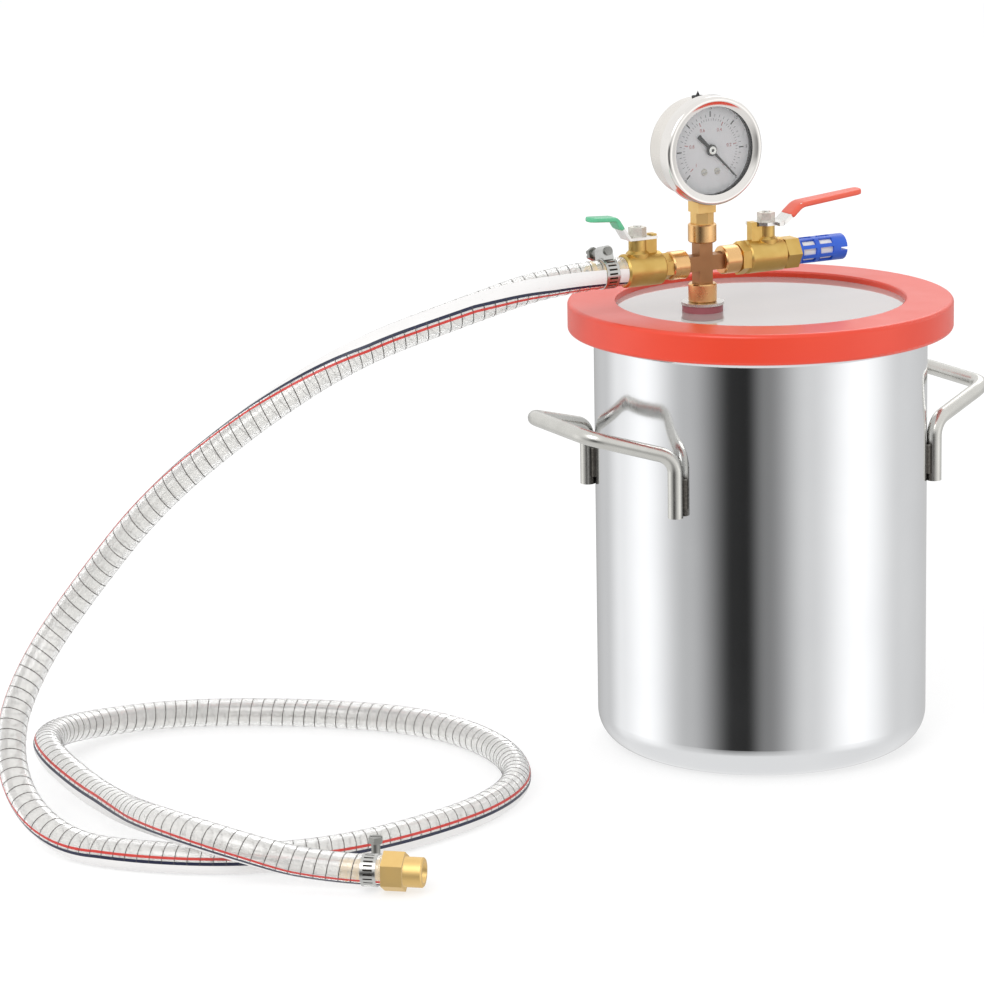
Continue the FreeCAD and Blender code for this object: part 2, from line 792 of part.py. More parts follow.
def square_edges(feature, along):
    """Names of the upright edges that stand at this distance along X."""
    doc.recompute()
    names = []
    for number, edge in enumerate(feature.Shape.Edges, start=1):
        ends = [vertex.Point for vertex in edge.Vertexes]
        if len(ends) == 2 and all(abs(end.x - along) < 1e-4 for end in ends) and abs(ends[0].y - ends[1].y) < 1e-4:
            names.append("Edge%d" % number)
    return names


def narrowed(body, start, start_half_width, end, end_half_width, low, high):
    """Trims both sides in plan, so that the width falls evenly from start to end; gives the last cut."""
    for side in (-1, 1):
        cut = padded(body, "XY_Plane", [
            (start, side * start_half_width), (end, side * end_half_width), (end, side * start_half_width),
        ], high - low, level=low, cut=True, reverse=True)
    return cut


def make_lever(valve, place, rotation, sizes):
    """Pressed steel lever with stop ears beside its hole, and its dipped grip."""
    plate, half_width, tip_half_width, first_bend, second_bend, rise, tip_rise, tip, grip_start, coat = sizes
    strip_end = tip - d.grip_corner
    tip_slope = (tip_rise - rise) / (tip - second_bend)
    end_rise = rise + tip_slope * (strip_end - second_bend)
    back = plate * HALF
    strip_start = first_bend - plate
    strip = [
        (strip_start, plate_bottom), (first_bend, plate_bottom), (second_bend, plate_bottom + rise),
        (strip_end, plate_bottom + end_rise), (strip_end, plate_bottom + end_rise + plate),
        (second_bend - back, plate_bottom + rise + plate), (first_bend - back, plate_bottom + plate),
        (strip_start, plate_bottom + plate),
    ]
    lever = new_body(valve + "_lever", place, rotation)
    inner = d.lug_half_width + d.stop_gap
    outer = d.lever_half_width
    padded(lever, "XY_Plane", [
        (-d.stop_reach, inner), (-d.plate_tail, inner), (-d.plate_tail, -inner),
        (-inner, -d.plate_tail), (inner, -d.plate_tail), (inner, -d.stop_reach),
        (outer, -d.stop_reach), (first_bend - back, -half_width), (first_bend - back, half_width),
        (inner, outer), (-d.stop_reach, outer),
    ], plate, level=plate_bottom)
    padded(lever, "XZ_Plane", strip, half_width * 2, both_ways=True)
    low = plate_bottom - coat
    high = plate_bottom + tip_rise + plate + coat
    narrowed(lever, first_bend, half_width, tip, tip_half_width, low, high)
    turned(lever, rectangle(0, d.stem_radius, plate_bottom, plate_bottom + plate), cut=True)
    keep(lever)

    slope = rise / (second_bend - first_bend)
    start_rise = slope * (grip_start - first_bend)
    skin = new_body(valve + "_lever_skin", place, rotation)
    padded(skin, "XZ_Plane", [
        (grip_start + back, plate_bottom + start_rise - coat),
        (second_bend, plate_bottom + rise - coat), (tip, plate_bottom + tip_rise - coat),
        (tip, plate_bottom + tip_rise + plate + coat),
        (second_bend - back, plate_bottom + rise + plate + coat),
        (grip_start - back - coat, plate_bottom + start_rise + plate + coat),
    ], half_width * 2 + coat * 2, both_ways=True)
    outside = narrowed(skin, first_bend, half_width + coat, tip, tip_half_width + coat, low, high)
    fillet = skin.newObject("PartDesign::Fillet", skin.Label + "_round")
    fillet.Base = (outside, square_edges(outside, tip))
    fillet.Radius = float(d.grip_corner)
    bind(fillet, "Radius", d.grip_corner)
    grip = doc.addObject("Part::Cut", valve + "_lever_grip")
    grip.Label = valve + "_lever_grip"
    grip.Base = skin
    grip.Tool = lever
    keep(grip)


# Silencer: slotted plastic cage screwed into the vent valve, with a felt tube inside


def make_silencer():
    start = d.valve_shoulder + d.hex_end_length
    end = start + d.silencer_length
    inner = d.silencer_radius - d.silencer_wall
    felt_start = start + d.silencer_wall
    felt_end = end - d.silencer_cap
    body = new_body("silencer_body", vent_stem_place)
    turned(body, [
        (start - d.silencer_thread, d.pipe_bore), (start - d.silencer_thread, d.thread_radius),
        (start, d.thread_radius), (start, d.silencer_radius), (end, d.silencer_radius), (end, 0),
        (felt_end, 0), (felt_end, inner), (felt_start, inner), (felt_start, d.pipe_bore),
    ], about="H_Axis")
    rows = []
    for column in range(2):
        low = start + d.window_first + d.window_spacing * column
        outline = rectangle(low, low + d.window_length, -d.window_width * HALF, d.window_width * HALF)
        rows.append(padded(body, "XY_Plane", outline, d.silencer_radius, level=inner * HALF, cut=True,
                           reverse=True))
    repeated(body, rows, "X_Axis", d.window_count)
    slot = d.cap_slot_width * HALF
    padded(body, "XZ_Plane", rectangle(end - d.cap_slot_depth, end, -slot, slot), d.silencer_radius * 2,
           cut=True, both_ways=True)
    keep(body)

    felt = new_body("silencer_filter", vent_stem_place)
    felt_radius = inner - d.filter_gap
    turned(felt, rectangle(felt_start, felt_end, felt_radius - d.filter_wall, felt_radius), about="H_Axis")
    keep(felt)


# Gauge, drawn facing up and tipped to face the front


def make_gauge():
    inner = d.case_radius - d.case_wall
    case = new_body("gauge_case", gauge_place, FACING_FRONT)
    shell = turned(case, [
        (0, -d.case_back), (d.case_radius, -d.case_back), (d.case_radius, d.case_front),
        (inner, d.case_front), (inner, d.case_wall - d.case_back), (0, d.case_wall - d.case_back),
    ])
    rounded(case, shell, [(d.case_radius, -d.case_back)], d.case_round)
    hole = d.socket_flats * HALF + d.socket_hole_gap
    padded(case, "XZ_Plane", rectangle(-hole, hole, -hole, hole), d.case_radius, cut=True, reverse=True)
    padded_round(case, "XZ_Plane", d.fill_hole_radius, d.case_radius, up=-d.fill_plug_back, cut=True)
    keep(case)

    lens_radius = d.case_radius - d.lens_gap
    lens_front = d.case_front + d.lens_thickness
    grip = d.case_radius + d.bezel_gap
    skirt = d.socket_flats * HALF + d.bezel_clearance
    bezel = new_body("gauge_bezel", gauge_place, FACING_FRONT)
    hoop = turned(bezel, [
        (grip, skirt), (d.bezel_radius, skirt), (d.bezel_radius, d.bezel_front),
        (d.bezel_opening, d.bezel_front), (d.bezel_opening, lens_front), (grip, lens_front),
    ])
    rounded(bezel, hoop, [(d.bezel_radius, d.bezel_front)], d.bezel_round)
    keep(bezel)

    lens = new_body("gauge_lens", gauge_place, FACING_FRONT)
    turned(lens, rectangle(0, lens_radius, d.case_front, lens_front))
    keep(lens)

    dial = new_body("gauge_dial", gauge_place, FACING_FRONT)
    turned(dial, rectangle(d.dial_hole, d.dial_radius, d.dial_front - d.dial_thickness, d.dial_front))
    keep(dial)

    needle_turn = FACING_FRONT.multiply(FreeCAD.Rotation(FreeCAD.Vector(0, 0, 1), float(d.needle_rest_angle)))
    needle = new_body("gauge_needle", gauge_place, needle_turn)
    padded(needle, "XY_Plane", [
        (0, -d.needle_root_half_width), (d.needle_reach, -d.needle_tip_half_width),
        (d.needle_reach, d.needle_tip_half_width), (0, d.needle_root_half_width),
        (-d.needle_tail, d.needle_tail_half_width), (-d.needle_tail, -d.needle_tail_half_width),
    ], d.needle_thickness, level=d.needle_back)
    turned(needle, [
        (0, d.arbor_back), (d.arbor_radius, d.arbor_back), (d.arbor_radius, d.needle_back),
        (d.hub_radius, d.needle_back), (d.hub_radius, d.hub_front), (0, d.hub_front),
    ])
    keep(needle)

    movement_front = d.dial_front - d.dial_thickness
    movement = new_body("gauge_movement", gauge_place, FACING_FRONT)
    width, height = d.movement_half_width, d.movement_half_height
    padded(movement, "XY_Plane", rectangle(-width, width, -height, height), movement_front - d.movement_back,
           level=d.movement_back)
    window = width - d.movement_post
    padded(movement, "XZ_Plane", rectangle(-window, window, d.movement_back + d.movement_plate,
                                           movement_front - d.movement_plate), height * 2,
           cut=True, both_ways=True)
    foot = d.movement_foot_half_width
    padded(movement, "XY_Plane", rectangle(-foot, foot, d.socket_top - d.gauge_rise, -height),
           d.movement_plate, level=d.movement_back)
    pivot = d.arbor_radius + d.arbor_gap
    turned(movement, rectangle(0, pivot, d.movement_back, movement_front), cut=True)
    keep(movement)

    tube = doc.addObject("Part::Torus", "gauge_bourdon_tube")
    tube.Label = "gauge_bourdon_tube"
    tube.Radius1 = float(d.tube_ring_radius)
    tube.Radius2 = float(d.tube_radius)
    tube.Angle3 = float(d.tube_sweep)
    bind(tube, "Radius1", d.tube_ring_radius)
    bind(tube, "Radius2", d.tube_radius)
    bind(tube, "Angle3", d.tube_sweep)
    tube_turn = FACING_FRONT.multiply(FreeCAD.Rotation(FreeCAD.Vector(0, 0, 1), float(d.tube_start)))
    put(tube, (d.manifold_offset, -d.tube_level, gauge_height), tube_turn)
    keep(tube)

    socket = new_body("gauge_socket", (d.manifold_offset, 0, axis_height))
    half = d.socket_flats * HALF
    inner_half = d.socket_inner_flats * HALF
    case_floor = d.gauge_rise - inner
    turned(socket, rectangle(0, d.thread_radius, thread_stop, coupling_end))
    padded(socket, "XY_Plane", hexagon(d.socket_neck_flats), d.socket_bottom - coupling_end,
           level=coupling_end)
    padded(socket, "XY_Plane", rectangle(-half, half, -half, half), case_floor - d.socket_bottom,
           level=d.socket_bottom)
    padded(socket, "XY_Plane", rectangle(-inner_half, inner_half, -inner_half, inner_half),
           d.socket_top - case_floor, level=case_floor)
    turned(socket, rectangle(0, d.pipe_bore, thread_stop, case_floor), cut=True)
    keep(socket)

    plug = new_body("gauge_fill_plug", (d.manifold_offset, d.fill_plug_back, gauge_height + d.case_radius))
    turned(plug, [
        (0, -d.case_wall), (d.fill_hole_radius, -d.case_wall), (d.fill_hole_radius, 0),
        (d.fill_plug_radius, 0), (d.fill_plug_radius, d.fill_plug_flange),
        (d.fill_hole_radius * HALF, d.fill_plug_flange), (0, d.fill_plug_tip),
    ])
    keep(plug)


# Hose, a free cord: its points are chosen by hand from the photograph


HOSE_ROUTE = [
    (-141, 0), (-199, 4, 285), (-263, 19, 265), (-319, 37, 230), (-371, 62, 184), (-405, 90, 130),
    (-437, 94, 89), (-463, 75, 55), (-472, 38, 26), (-461, -5, 9), (-433, -44, 9), (-390, -77, 9),
    (-339, -93, 9), (-279, -86, 9), (-219, -64, 9), (-178, -22, 9), (-162, 42, 9), (-177, 109, 9),
    (-229, 163, 9), (-293, 202, 9), (-350, 205, 11), (-398, 174, 19), (-421, 122, 25), (-416, 68, 21),
    (-418, 13, 21), (-422, -44, 29), (-402, -90, 25), (-362, -118), (-331, -144),
]
ARC_SHARE = 0.45


def make_hose():
    """Clear tube along straight runs joined by arcs, level at the valve and at its end fitting."""
    end_height = d.end_hex_flats * HEX_CORNER + d.end_lift
    start = FreeCAD.Vector(d.manifold_offset - stem_offset - d.valve_shoulder, 0, axis_height)
    first = FreeCAD.Vector(*HOSE_ROUTE[0], axis_height)
    middle = [FreeCAD.Vector(*point) for point in HOSE_ROUTE[1:-2]]
    last = [FreeCAD.Vector(*point, end_height) for point in HOSE_ROUTE[-2:]]
    points = [start, first] + middle + last
    runs = [(after - before).Length for before, after in zip(points, points[1:])]
    radii = []
    for place in range(1, len(points) - 1):
        back = points[place - 1] - points[place]
        onward = points[place + 1] - points[place]
        half_turn = (math.pi - back.getAngle(onward)) * HALF
        radii.append(ARC_SHARE * min(runs[place - 1], runs[place]) / math.tan(half_turn))
    path = rounded_path(points, radii)
    hose = swept_round(path, float(d.hose_radius)).cut(swept_round(path, float(d.hose_bore)))
    section = math.pi * (d.hose_radius * d.hose_radius - d.hose_bore * d.hose_bore)
    print("hose length", round(path.Length, 1), "smallest radius", round(min(radii), 1))
    print("hose radii", [round(radius) for radius in radii])
    print("hose volume", round(hose.Volume), "section by length", round(section * path.Length))
    keep(shape_object("vacuum_hose", hose))
    return points


def make_clamp(label, place, rotation, along):
    """Worm-drive clamp drawn round the X axis at a distance along it, with its screw on top."""
    band_inner = d.hose_radius
    band_outer = band_inner + d.clamp_band
    low = along - d.clamp_width * HALF
    high = along + d.clamp_width * HALF
    band = new_body(label + "_band", place, rotation)
    turned(band, rectangle(low, high, band_inner, band_outer), about="H_Axis")
    slot_low = along - d.clamp_slot_length * HALF
    slot = padded(band, "XY_Plane", rectangle(slot_low, slot_low + d.clamp_slot_length,
                                              -d.clamp_slot_width * HALF, d.clamp_slot_width * HALF),
                  band_outer, level=band_inner * HALF, cut=True, reverse=True)
    repeated(band, [slot], "X_Axis", d.clamp_slot_count)
    keep(band)

    worm_height = band_outer + d.housing_wall + d.worm_radius
    shell = d.worm_radius + d.housing_wall
    housing = new_body(label + "_housing", place, rotation)
    padded(housing, "XZ_Plane", rectangle(along - shell, along + shell, d.hose_bore, worm_height),
           d.housing_length, both_ways=True)
    barrel = new_sketch(housing, "XZ_Plane")
    draw_circle(barrel, shell, along, worm_height)
    extruded(housing, barrel, d.housing_length, both_ways=True)
    tunnel = new_sketch(housing, "XZ_Plane")
    draw_circle(tunnel, d.worm_radius, along, worm_height)
    extruded(housing, tunnel, d.housing_length, cut=True, both_ways=True)
    turned(housing, rectangle(along - shell, along + shell, 0, band_outer), about="H_Axis", cut=True)
    keep(housing)

    screw = new_body(label + "_screw", place, rotation)
    head_start = d.worm_reach
    shank = new_sketch(screw, "XZ_Plane", head_start - d.worm_length)
    draw_circle(shank, d.worm_radius, along, worm_height)
    extruded(screw, shank, d.worm_length)
    corners = [(along + across, worm_height + up) for across, up in hexagon(d.worm_head_flats)]
    padded(screw, "XZ_Plane", corners, d.worm_head_length, level=head_start)
    half_slot = d.worm_slot * HALF
    padded(screw, "XZ_Plane", rectangle(along - d.worm_head_flats, along + d.worm_head_flats,
                                        worm_height - half_slot, worm_height + half_slot),
           d.worm_slot, level=head_start + d.worm_head_length, cut=True)
    keep(screw)


def make_end_fitting(points):
    """Barbed hexagon fitting with a threaded socket, at the hose's free end."""
    heading = points[-1] - points[-2]
    level = FreeCAD.Rotation(FreeCAD.Vector(1, 0, 0), FreeCAD.Vector(heading.x, heading.y, 0))
    fitting = new_body("hose_end_fitting", points[-1], level)
    end = d.end_hex_length + d.end_socket_length
    tip = -d.barb_pitch * d.barb_count
    teeth = [(-along, radius) for along, radius in barb_corners(0)]
    turned(fitting, teeth, about="H_Axis")
    padded(fitting, "YZ_Plane", hexagon(d.end_hex_flats), d.end_hex_length)
    turned(fitting, [
        (0, 0), (0, d.end_socket_radius), (end - d.end_chamfer, d.end_socket_radius),
        (end, d.end_socket_radius - d.end_chamfer), (end, 0),
    ], about="H_Axis")
    turned(fitting, rectangle(tip, end, 0, d.barb_bore), about="H_Axis", cut=True)
    turned(fitting, rectangle(end - d.end_thread_depth, end, 0, d.end_thread_radius), about="H_Axis", cut=True)
    keep(fitting)
    aside = level.multiply(FreeCAD.Rotation(FreeCAD.Vector(1, 0, 0), -90))
    make_clamp("end_clamp", points[-1], aside, -d.clamp_at_end)


# Assembly


make_pot()
make_handle("handle_left", -1)
make_handle("handle_right", 1)
make_lid_gasket()
make_lid()
make_port()
make_cross()
for coupling_label, coupling_heading in (("top", 0), ("right", 90), ("bottom", 180), ("left", -90)):
    make_coupling("coupling_" + coupling_label, coupling_heading)
make_vent_body()
make_hose_body()
make_valve_insides("vent", vent_stem_place, UPRIGHT)
make_valve_insides("hose", hose_stem_place, TURNED_BACK)
make_lever("vent", vent_stem_place, UPRIGHT, (
    d.vent_plate, d.vent_root_half_width, d.vent_tip_half_width, d.vent_first_bend, d.vent_second_bend,
    d.vent_rise, d.vent_tip_rise, d.vent_lever_length, d.vent_grip_start, d.vent_coat,
))
make_lever("hose", hose_stem_place, TURNED_BACK, (
    d.hose_plate, d.hose_root_half_width, d.hose_tip_half_width, d.hose_first_bend, d.hose_second_bend,
    d.hose_rise, d.hose_tip_rise, d.hose_lever_length, d.hose_grip_start, d.hose_coat,
))
make_silencer()
make_gauge()
tilted_back = TURNED_BACK.multiply(FreeCAD.Rotation(FreeCAD.Vector(1, 0, 0), float(d.clamp_tilt)))
make_clamp("valve_clamp", hose_stem_place, tilted_back, d.valve_shoulder + d.clamp_at_valve)
hose_points = make_hose()
make_end_fitting(hose_points)

doc.recompute()
for item in doc.Objects:
    if "Invalid" in item.State or "Error" in item.State:
        raise RuntimeError("feature failed: " + item.Label)
for piece in pieces:
    if piece.Shape.isNull() or not piece.Shape.isValid():
        raise RuntimeError("bad shape: " + piece.Label)
    piece.Shape.exportStep("parts/%s.step" % piece.Label)
print("pieces written", len(pieces))
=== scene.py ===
import math

import bpy
import numpy as np
from mathutils import Matrix, Vector


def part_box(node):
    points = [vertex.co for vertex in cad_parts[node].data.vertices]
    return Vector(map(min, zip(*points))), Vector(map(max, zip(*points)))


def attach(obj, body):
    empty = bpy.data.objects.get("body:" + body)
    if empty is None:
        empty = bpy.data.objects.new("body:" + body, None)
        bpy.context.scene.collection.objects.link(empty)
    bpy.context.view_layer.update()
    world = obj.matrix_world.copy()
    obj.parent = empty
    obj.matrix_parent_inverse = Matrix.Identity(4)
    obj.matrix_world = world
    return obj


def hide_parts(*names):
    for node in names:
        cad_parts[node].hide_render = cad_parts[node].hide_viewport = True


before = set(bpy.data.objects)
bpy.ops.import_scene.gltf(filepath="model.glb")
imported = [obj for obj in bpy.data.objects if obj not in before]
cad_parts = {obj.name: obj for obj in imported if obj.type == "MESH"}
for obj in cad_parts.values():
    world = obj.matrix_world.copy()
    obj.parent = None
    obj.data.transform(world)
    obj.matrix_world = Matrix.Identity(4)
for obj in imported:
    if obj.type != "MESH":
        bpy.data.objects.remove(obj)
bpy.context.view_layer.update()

# Studio
# A white sweep under a soft sky, with one large soft box over the object's left shoulder and a
# weaker one behind. Polished metal mirrors a ring of tall white panels, with black card between
# two of them, a white ceiling above and the white sweep below.
VIEWPOINT = (-1.2993, -2.1141, 0.7500)
HEADING, DOWNWARD, TILT = -27.817, 13.481, -1.06
LENS, SENSOR, SEES_TO = 153.94, 36.0, 100
FLOOR_RADIUS, FLOOR_CORNERS = 9.0, 96
PAPER_TONE, PAPER_GLOW = 0.38, 0.64
SKY_LIGHT, CEILING_LIGHT, SWEEP_LIGHT, LAST_PANEL = 0.92, 1.1, 0.95, 0.6
CEILING_FROM, CEILING_FULL = 0.0, 0.22
SWEEP_FROM, SWEEP_FULL = -0.32, -0.6
CARD_MIDDLE = -121.6
# Each pair is a bearing in degrees from the card's middle and the light of the panels there.
PANEL_LIGHTS = ((-180, 0.44), (-136, 0.72), (-114, 1.1), (-88, 1.4), (-52, 0.62), (-19, 0.035),
                (-10, 0.03), (4, 0.27), (34, 0.84), (70, 1.42), (112, 0.85))
# Name, place, size and power of the soft boxes, and the point that both face.
SOFT_BOXES = (("soft_box_left", (-2.2, -1.6, 2.4), 1.8, 34), ("soft_box_back", (1.8, 1.6, 2.2), 1.6, 14))
LIT_POINT = (0, 0, 0.15)


def grey(light):
    """An even grey of this light, with full cover."""
    return light, light, light, 1


def add(tree, kind, inputs=None, **settings):
    """A new node with its settings; each input is given a value or a link from another node's output."""
    node = tree.nodes.new(kind)
    for name, value in settings.items():
        setattr(node, name, value)
    for name, value in (inputs or {}).items():
        if isinstance(value, bpy.types.NodeSocket):
            tree.links.new(value, node.inputs[name])
        else:
            node.inputs[name].default_value = value
    return node


def bare(name):
    """A new material with no nodes yet, and its node tree."""
    made = bpy.data.materials.new(name)
    made.use_nodes = True
    made.node_tree.nodes.clear()
    return made, made.node_tree


def show(name, mesh, surface_finish):
    """An object at the origin that shows the mesh in one finish."""
    thing = bpy.data.objects.new(name, mesh)
    bpy.context.scene.collection.objects.link(thing)
    mesh.materials.append(surface_finish)
    return thing


lens = bpy.data.cameras.new("camera")
lens.lens, lens.sensor_width, lens.clip_end = LENS, SENSOR, SEES_TO
camera = bpy.data.objects.new("camera", lens)
bpy.context.scene.collection.objects.link(camera)
aim = (Matrix.Rotation(math.radians(HEADING), 4, "Z")
       @ Matrix.Rotation(math.radians(90 - DOWNWARD), 4, "X")
       @ Matrix.Rotation(math.radians(TILT), 4, "Z"))
camera.matrix_world = Matrix.Translation(VIEWPOINT) @ aim
bpy.context.scene.camera = camera
bpy.context.scene.view_settings.view_transform = "Standard"

world = bpy.data.worlds.new("studio_sky")
bpy.context.scene.world = world
world.use_nodes = True
sky = world.node_tree
sky.nodes.clear()
seen = add(sky, "ShaderNodeTexCoord")
turned_sky = add(sky, "ShaderNodeMapping", {
    "Vector": seen.outputs["Generated"], "Rotation": (0, 0, math.radians(-CARD_MIDDLE))})
round_the_set = add(sky, "ShaderNodeTexGradient", {"Vector": turned_sky.outputs[0]}, gradient_type="RADIAL")
panels = add(sky, "ShaderNodeValToRGB", {"Fac": round_the_set.outputs["Fac"]})
panels.color_ramp.interpolation = "EASE"
for bearing, light in PANEL_LIGHTS:
    stop = panels.color_ramp.elements.new(0.5 + bearing / 360)
    stop.color = grey(light)
panels.color_ramp.elements.remove(panels.color_ramp.elements[0])
panels.color_ramp.elements[-1].color = grey(LAST_PANEL)
height = add(sky, "ShaderNodeSeparateXYZ", {"Vector": seen.outputs["Generated"]})
ceiling = add(sky, "ShaderNodeMapRange", {
    "Value": height.outputs["Z"], "From Min": CEILING_FROM, "From Max": CEILING_FULL})
mirrored = add(sky, "ShaderNodeMixRGB", {
    "Fac": ceiling.outputs[0], "Color1": panels.outputs["Color"], "Color2": grey(CEILING_LIGHT)})
sweep = add(sky, "ShaderNodeMapRange", {
    "Value": height.outputs["Z"], "From Min": SWEEP_FROM, "From Max": SWEEP_FULL})
set_round = add(sky, "ShaderNodeMixRGB", {
    "Fac": sweep.outputs[0], "Color1": mirrored.outputs[0], "Color2": grey(SWEEP_LIGHT)})
ray = add(sky, "ShaderNodeLightPath")
reflected = add(sky, "ShaderNodeMath", {
    0: ray.outputs["Is Glossy Ray"], 1: ray.outputs["Is Transmission Ray"]},
    operation="SUBTRACT", use_clamp=True)
both = add(sky, "ShaderNodeMixRGB", {
    "Fac": reflected.outputs[0], "Color1": grey(SKY_LIGHT), "Color2": set_round.outputs[0]})
glow = add(sky, "ShaderNodeBackground", {"Color": both.outputs[0], "Strength": 1})
add(sky, "ShaderNodeOutputWorld", {"Surface": glow.outputs[0]})

for name, place, size, power in SOFT_BOXES:
    lamp = bpy.data.lights.new(name, "AREA")
    lamp.size, lamp.energy = size, power
    box = bpy.data.objects.new(name, lamp)
    bpy.context.scene.collection.objects.link(box)
    box.location = place
    box.rotation_euler = (Vector(LIT_POINT) - box.location).to_track_quat("-Z", "Y").to_euler()

# Matt white paper with a faint glow of its own, so that it runs into the sky without an edge.
sweep_paper, tree = bare("white_sweep_paper")
sheet = add(tree, "ShaderNodeBsdfDiffuse", {"Color": grey(PAPER_TONE)})
lift = add(tree, "ShaderNodeEmission", {"Color": grey(1), "Strength": PAPER_GLOW})
paper_sum = add(tree, "ShaderNodeAddShader", {0: sheet.outputs[0], 1: lift.outputs[0]})
add(tree, "ShaderNodeOutputMaterial", {"Surface": paper_sum.outputs[0]})
around = np.linspace(0, 2 * np.pi, FLOOR_CORNERS, endpoint=False)
floor_edge = np.stack([FLOOR_RADIUS * np.cos(around), FLOOR_RADIUS * np.sin(around), 0 * around], 1)
floor_mesh = bpy.data.meshes.new("floor")
floor_mesh.from_pydata(floor_edge.tolist(), [], [list(range(FLOOR_CORNERS))])
floor = show("floor", floor_mesh, sweep_paper)
floor.visible_glossy = False

# Hose
# Clear vinyl suction hose of 12 mm bore with a spring-steel wire wound into its wall. A red and
# a navy stripe and a broad white one beside them are drawn into the outside. It leaves the
# valve's barb, falls to the floor and lies in one loose loop that ends in the pump fitting.
MM = 0.001
HOSE_RADIUS, HOSE_BORE, HOSE_SIDES = 8.5 * MM, 6.0 * MM, 40
WIRE_RADIUS, WIRE_TURN, WIRE_PITCH = 0.35 * MM, 8.31 * MM, 7.0 * MM
WIRE_MARGIN, WIRE_SIDES, STEPS_A_TURN = 6 * MM, 6, 24
RED_HALF, NAVY_HALF, WHITE_HALF = 0.75 * MM, 0.95 * MM, 4.2 * MM
STRIPE_DEPTH, STRIPE_APART, STRIPE_COLUMNS = 0.35 * MM, 2.9 * MM, 7
STRIPE_PROUD, WHITE_PROUD = 0.03 * MM, 0.17 * MM
RED_STEP, NAVY_STEP = STRIPE_APART / 2, -STRIPE_APART / 2
WHITE_STEP = NAVY_STEP - NAVY_HALF - WHITE_HALF
# The first points lie on the valve barb's axis and the last two on the pump fitting's.
hose_route = (
    (-0.0946, 0, 0.2987), (-0.141, 0, 0.2987), (-0.199, 0.004, 0.285), (-0.263, 0.019, 0.265),
    (-0.319, 0.037, 0.230), (-0.371, 0.062, 0.184), (-0.405, 0.090, 0.130), (-0.437, 0.094, 0.089),
    (-0.463, 0.075, 0.055), (-0.472, 0.038, 0.026), (-0.461, -0.005, 0.009), (-0.433, -0.044, 0.009),
    (-0.390, -0.077, 0.009), (-0.339, -0.093, 0.009), (-0.279, -0.086, 0.009), (-0.219, -0.064, 0.009),
    (-0.178, -0.022, 0.009), (-0.162, 0.042, 0.009), (-0.177, 0.109, 0.009), (-0.229, 0.163, 0.009),
    (-0.293, 0.202, 0.009), (-0.350, 0.205, 0.011), (-0.398, 0.174, 0.019), (-0.421, 0.122, 0.025),
    (-0.4192, 0.070, 0.0178), (-0.4194, 0.0139, 0.0191), (-0.422, -0.044, 0.0278), (-0.402, -0.090, 0.025),
    (-0.362, -0.118, 0.011747), (-0.331, -0.144, 0.011747))
# The stripes face the floor at the valve, come round to the front, pass over the top of the
# fall and lie on the outside of the floor's loop. Each pair is a share of the hose's length and
# an angle in degrees. turned_by is measured from facing the photo's viewpoint, and raised_by from
# facing level away from the loop's middle. Between the shares ON_LOOP the first gives way to the
# second, and between the shares AT_END the stripes turn down to face END_WAY.
turned_by = ((0.0, -66), (0.03, -46), (0.06, -6), (0.10, 4), (0.118, 26), (0.145, 58), (0.19, 84),
             (0.27, 94), (0.32, 86), (0.36, 60))
raised_by = ((0.54, 6), (0.60, 28), (0.74, 28), (0.80, 18))
LOOP_MIDDLE = (-0.300, 0.060, 0)
ON_LOOP, AT_END = (0.31, 0.36), (0.87, 0.97)
END_WAY = (-0.40, -0.65, -0.64)


def linear(code):
    """An sRGB hex colour as linear red, green, blue and full cover."""
    parts = [int(code[i:i + 2], 16) / 255 for i in (1, 3, 5)]
    return [p / 12.92 if p <= 0.04045 else ((p + 0.055) / 1.055) ** 2.4 for p in parts] + [1.0]


def surface(name, points, loop=False, crease=40):
    """A closed mesh over a grid of points, rows along and columns round; four neighbours make a face.

    loop joins the last row to the first, and otherwise one face closes each end row. Faces are
    turned outwards by the sign of the volume they enclose, which is the sum over them of
    (corner 1 - middle) . ((corner 2 - middle) x (corner 3 - middle)), with a like term for the
    other half of each. Edges sharper than the crease, in degrees, are shaded sharp.
    """
    rows, columns = points.shape[:2]
    number = np.arange(rows * columns).reshape(rows, columns)
    if loop:
        number = np.vstack([number, number[:1]])
    number = np.hstack([number, number[:, :1]])
    faces = np.stack([number[:-1, :-1], number[:-1, 1:], number[1:, 1:], number[1:, :-1]], -1)
    faces = faces.reshape(-1, 4)
    flat = points.reshape(-1, 3)
    one, two, three, four = (flat[faces[:, k]] - flat.mean(0) for k in range(4))
    volume = (np.einsum("ij,ij->", one, np.cross(two, three))
              + np.einsum("ij,ij->", one, np.cross(three, four)))
    ends = [] if loop else [number[0, :columns][::-1].tolist(), number[-1, :columns].tolist()]
    faces = faces.tolist() + ends
    if volume < 0:
        faces = [face[::-1] for face in faces]
    mesh = bpy.data.meshes.new(name)
    mesh.from_pydata(flat.tolist(), [], faces)
    mesh.shade_smooth()
    mesh.set_sharp_from_angle(angle=math.radians(crease))
    return mesh


def carry(thing, body, slot, *replaced):
    """Carries a piece on its body and hides the CAD nodes that it replaces; slot is not used."""
    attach(thing, body)
    if replaced:
        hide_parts(*replaced)


def drifting(tree, pale, deep, drift, detail):
    """Object coordinates, clouds of drift millimetres on them, and a colour: one that follows the
    clouds from pale to deep, or where deep is None, the pale one alone."""
    place = add(tree, "ShaderNodeTexCoord").outputs["Object"]
    clouds = add(tree, "ShaderNodeTexNoise", {
        "Vector": place, "Scale": 1 / (drift * MM), "Detail": detail}).outputs["Fac"]
    if deep is None:
        return place, clouds, linear(pale)
    tint = add(tree, "ShaderNodeMixRGB", {"Fac": clouds, "Color1": linear(pale), "Color2": linear(deep)})
    return place, clouds, tint.outputs[0]


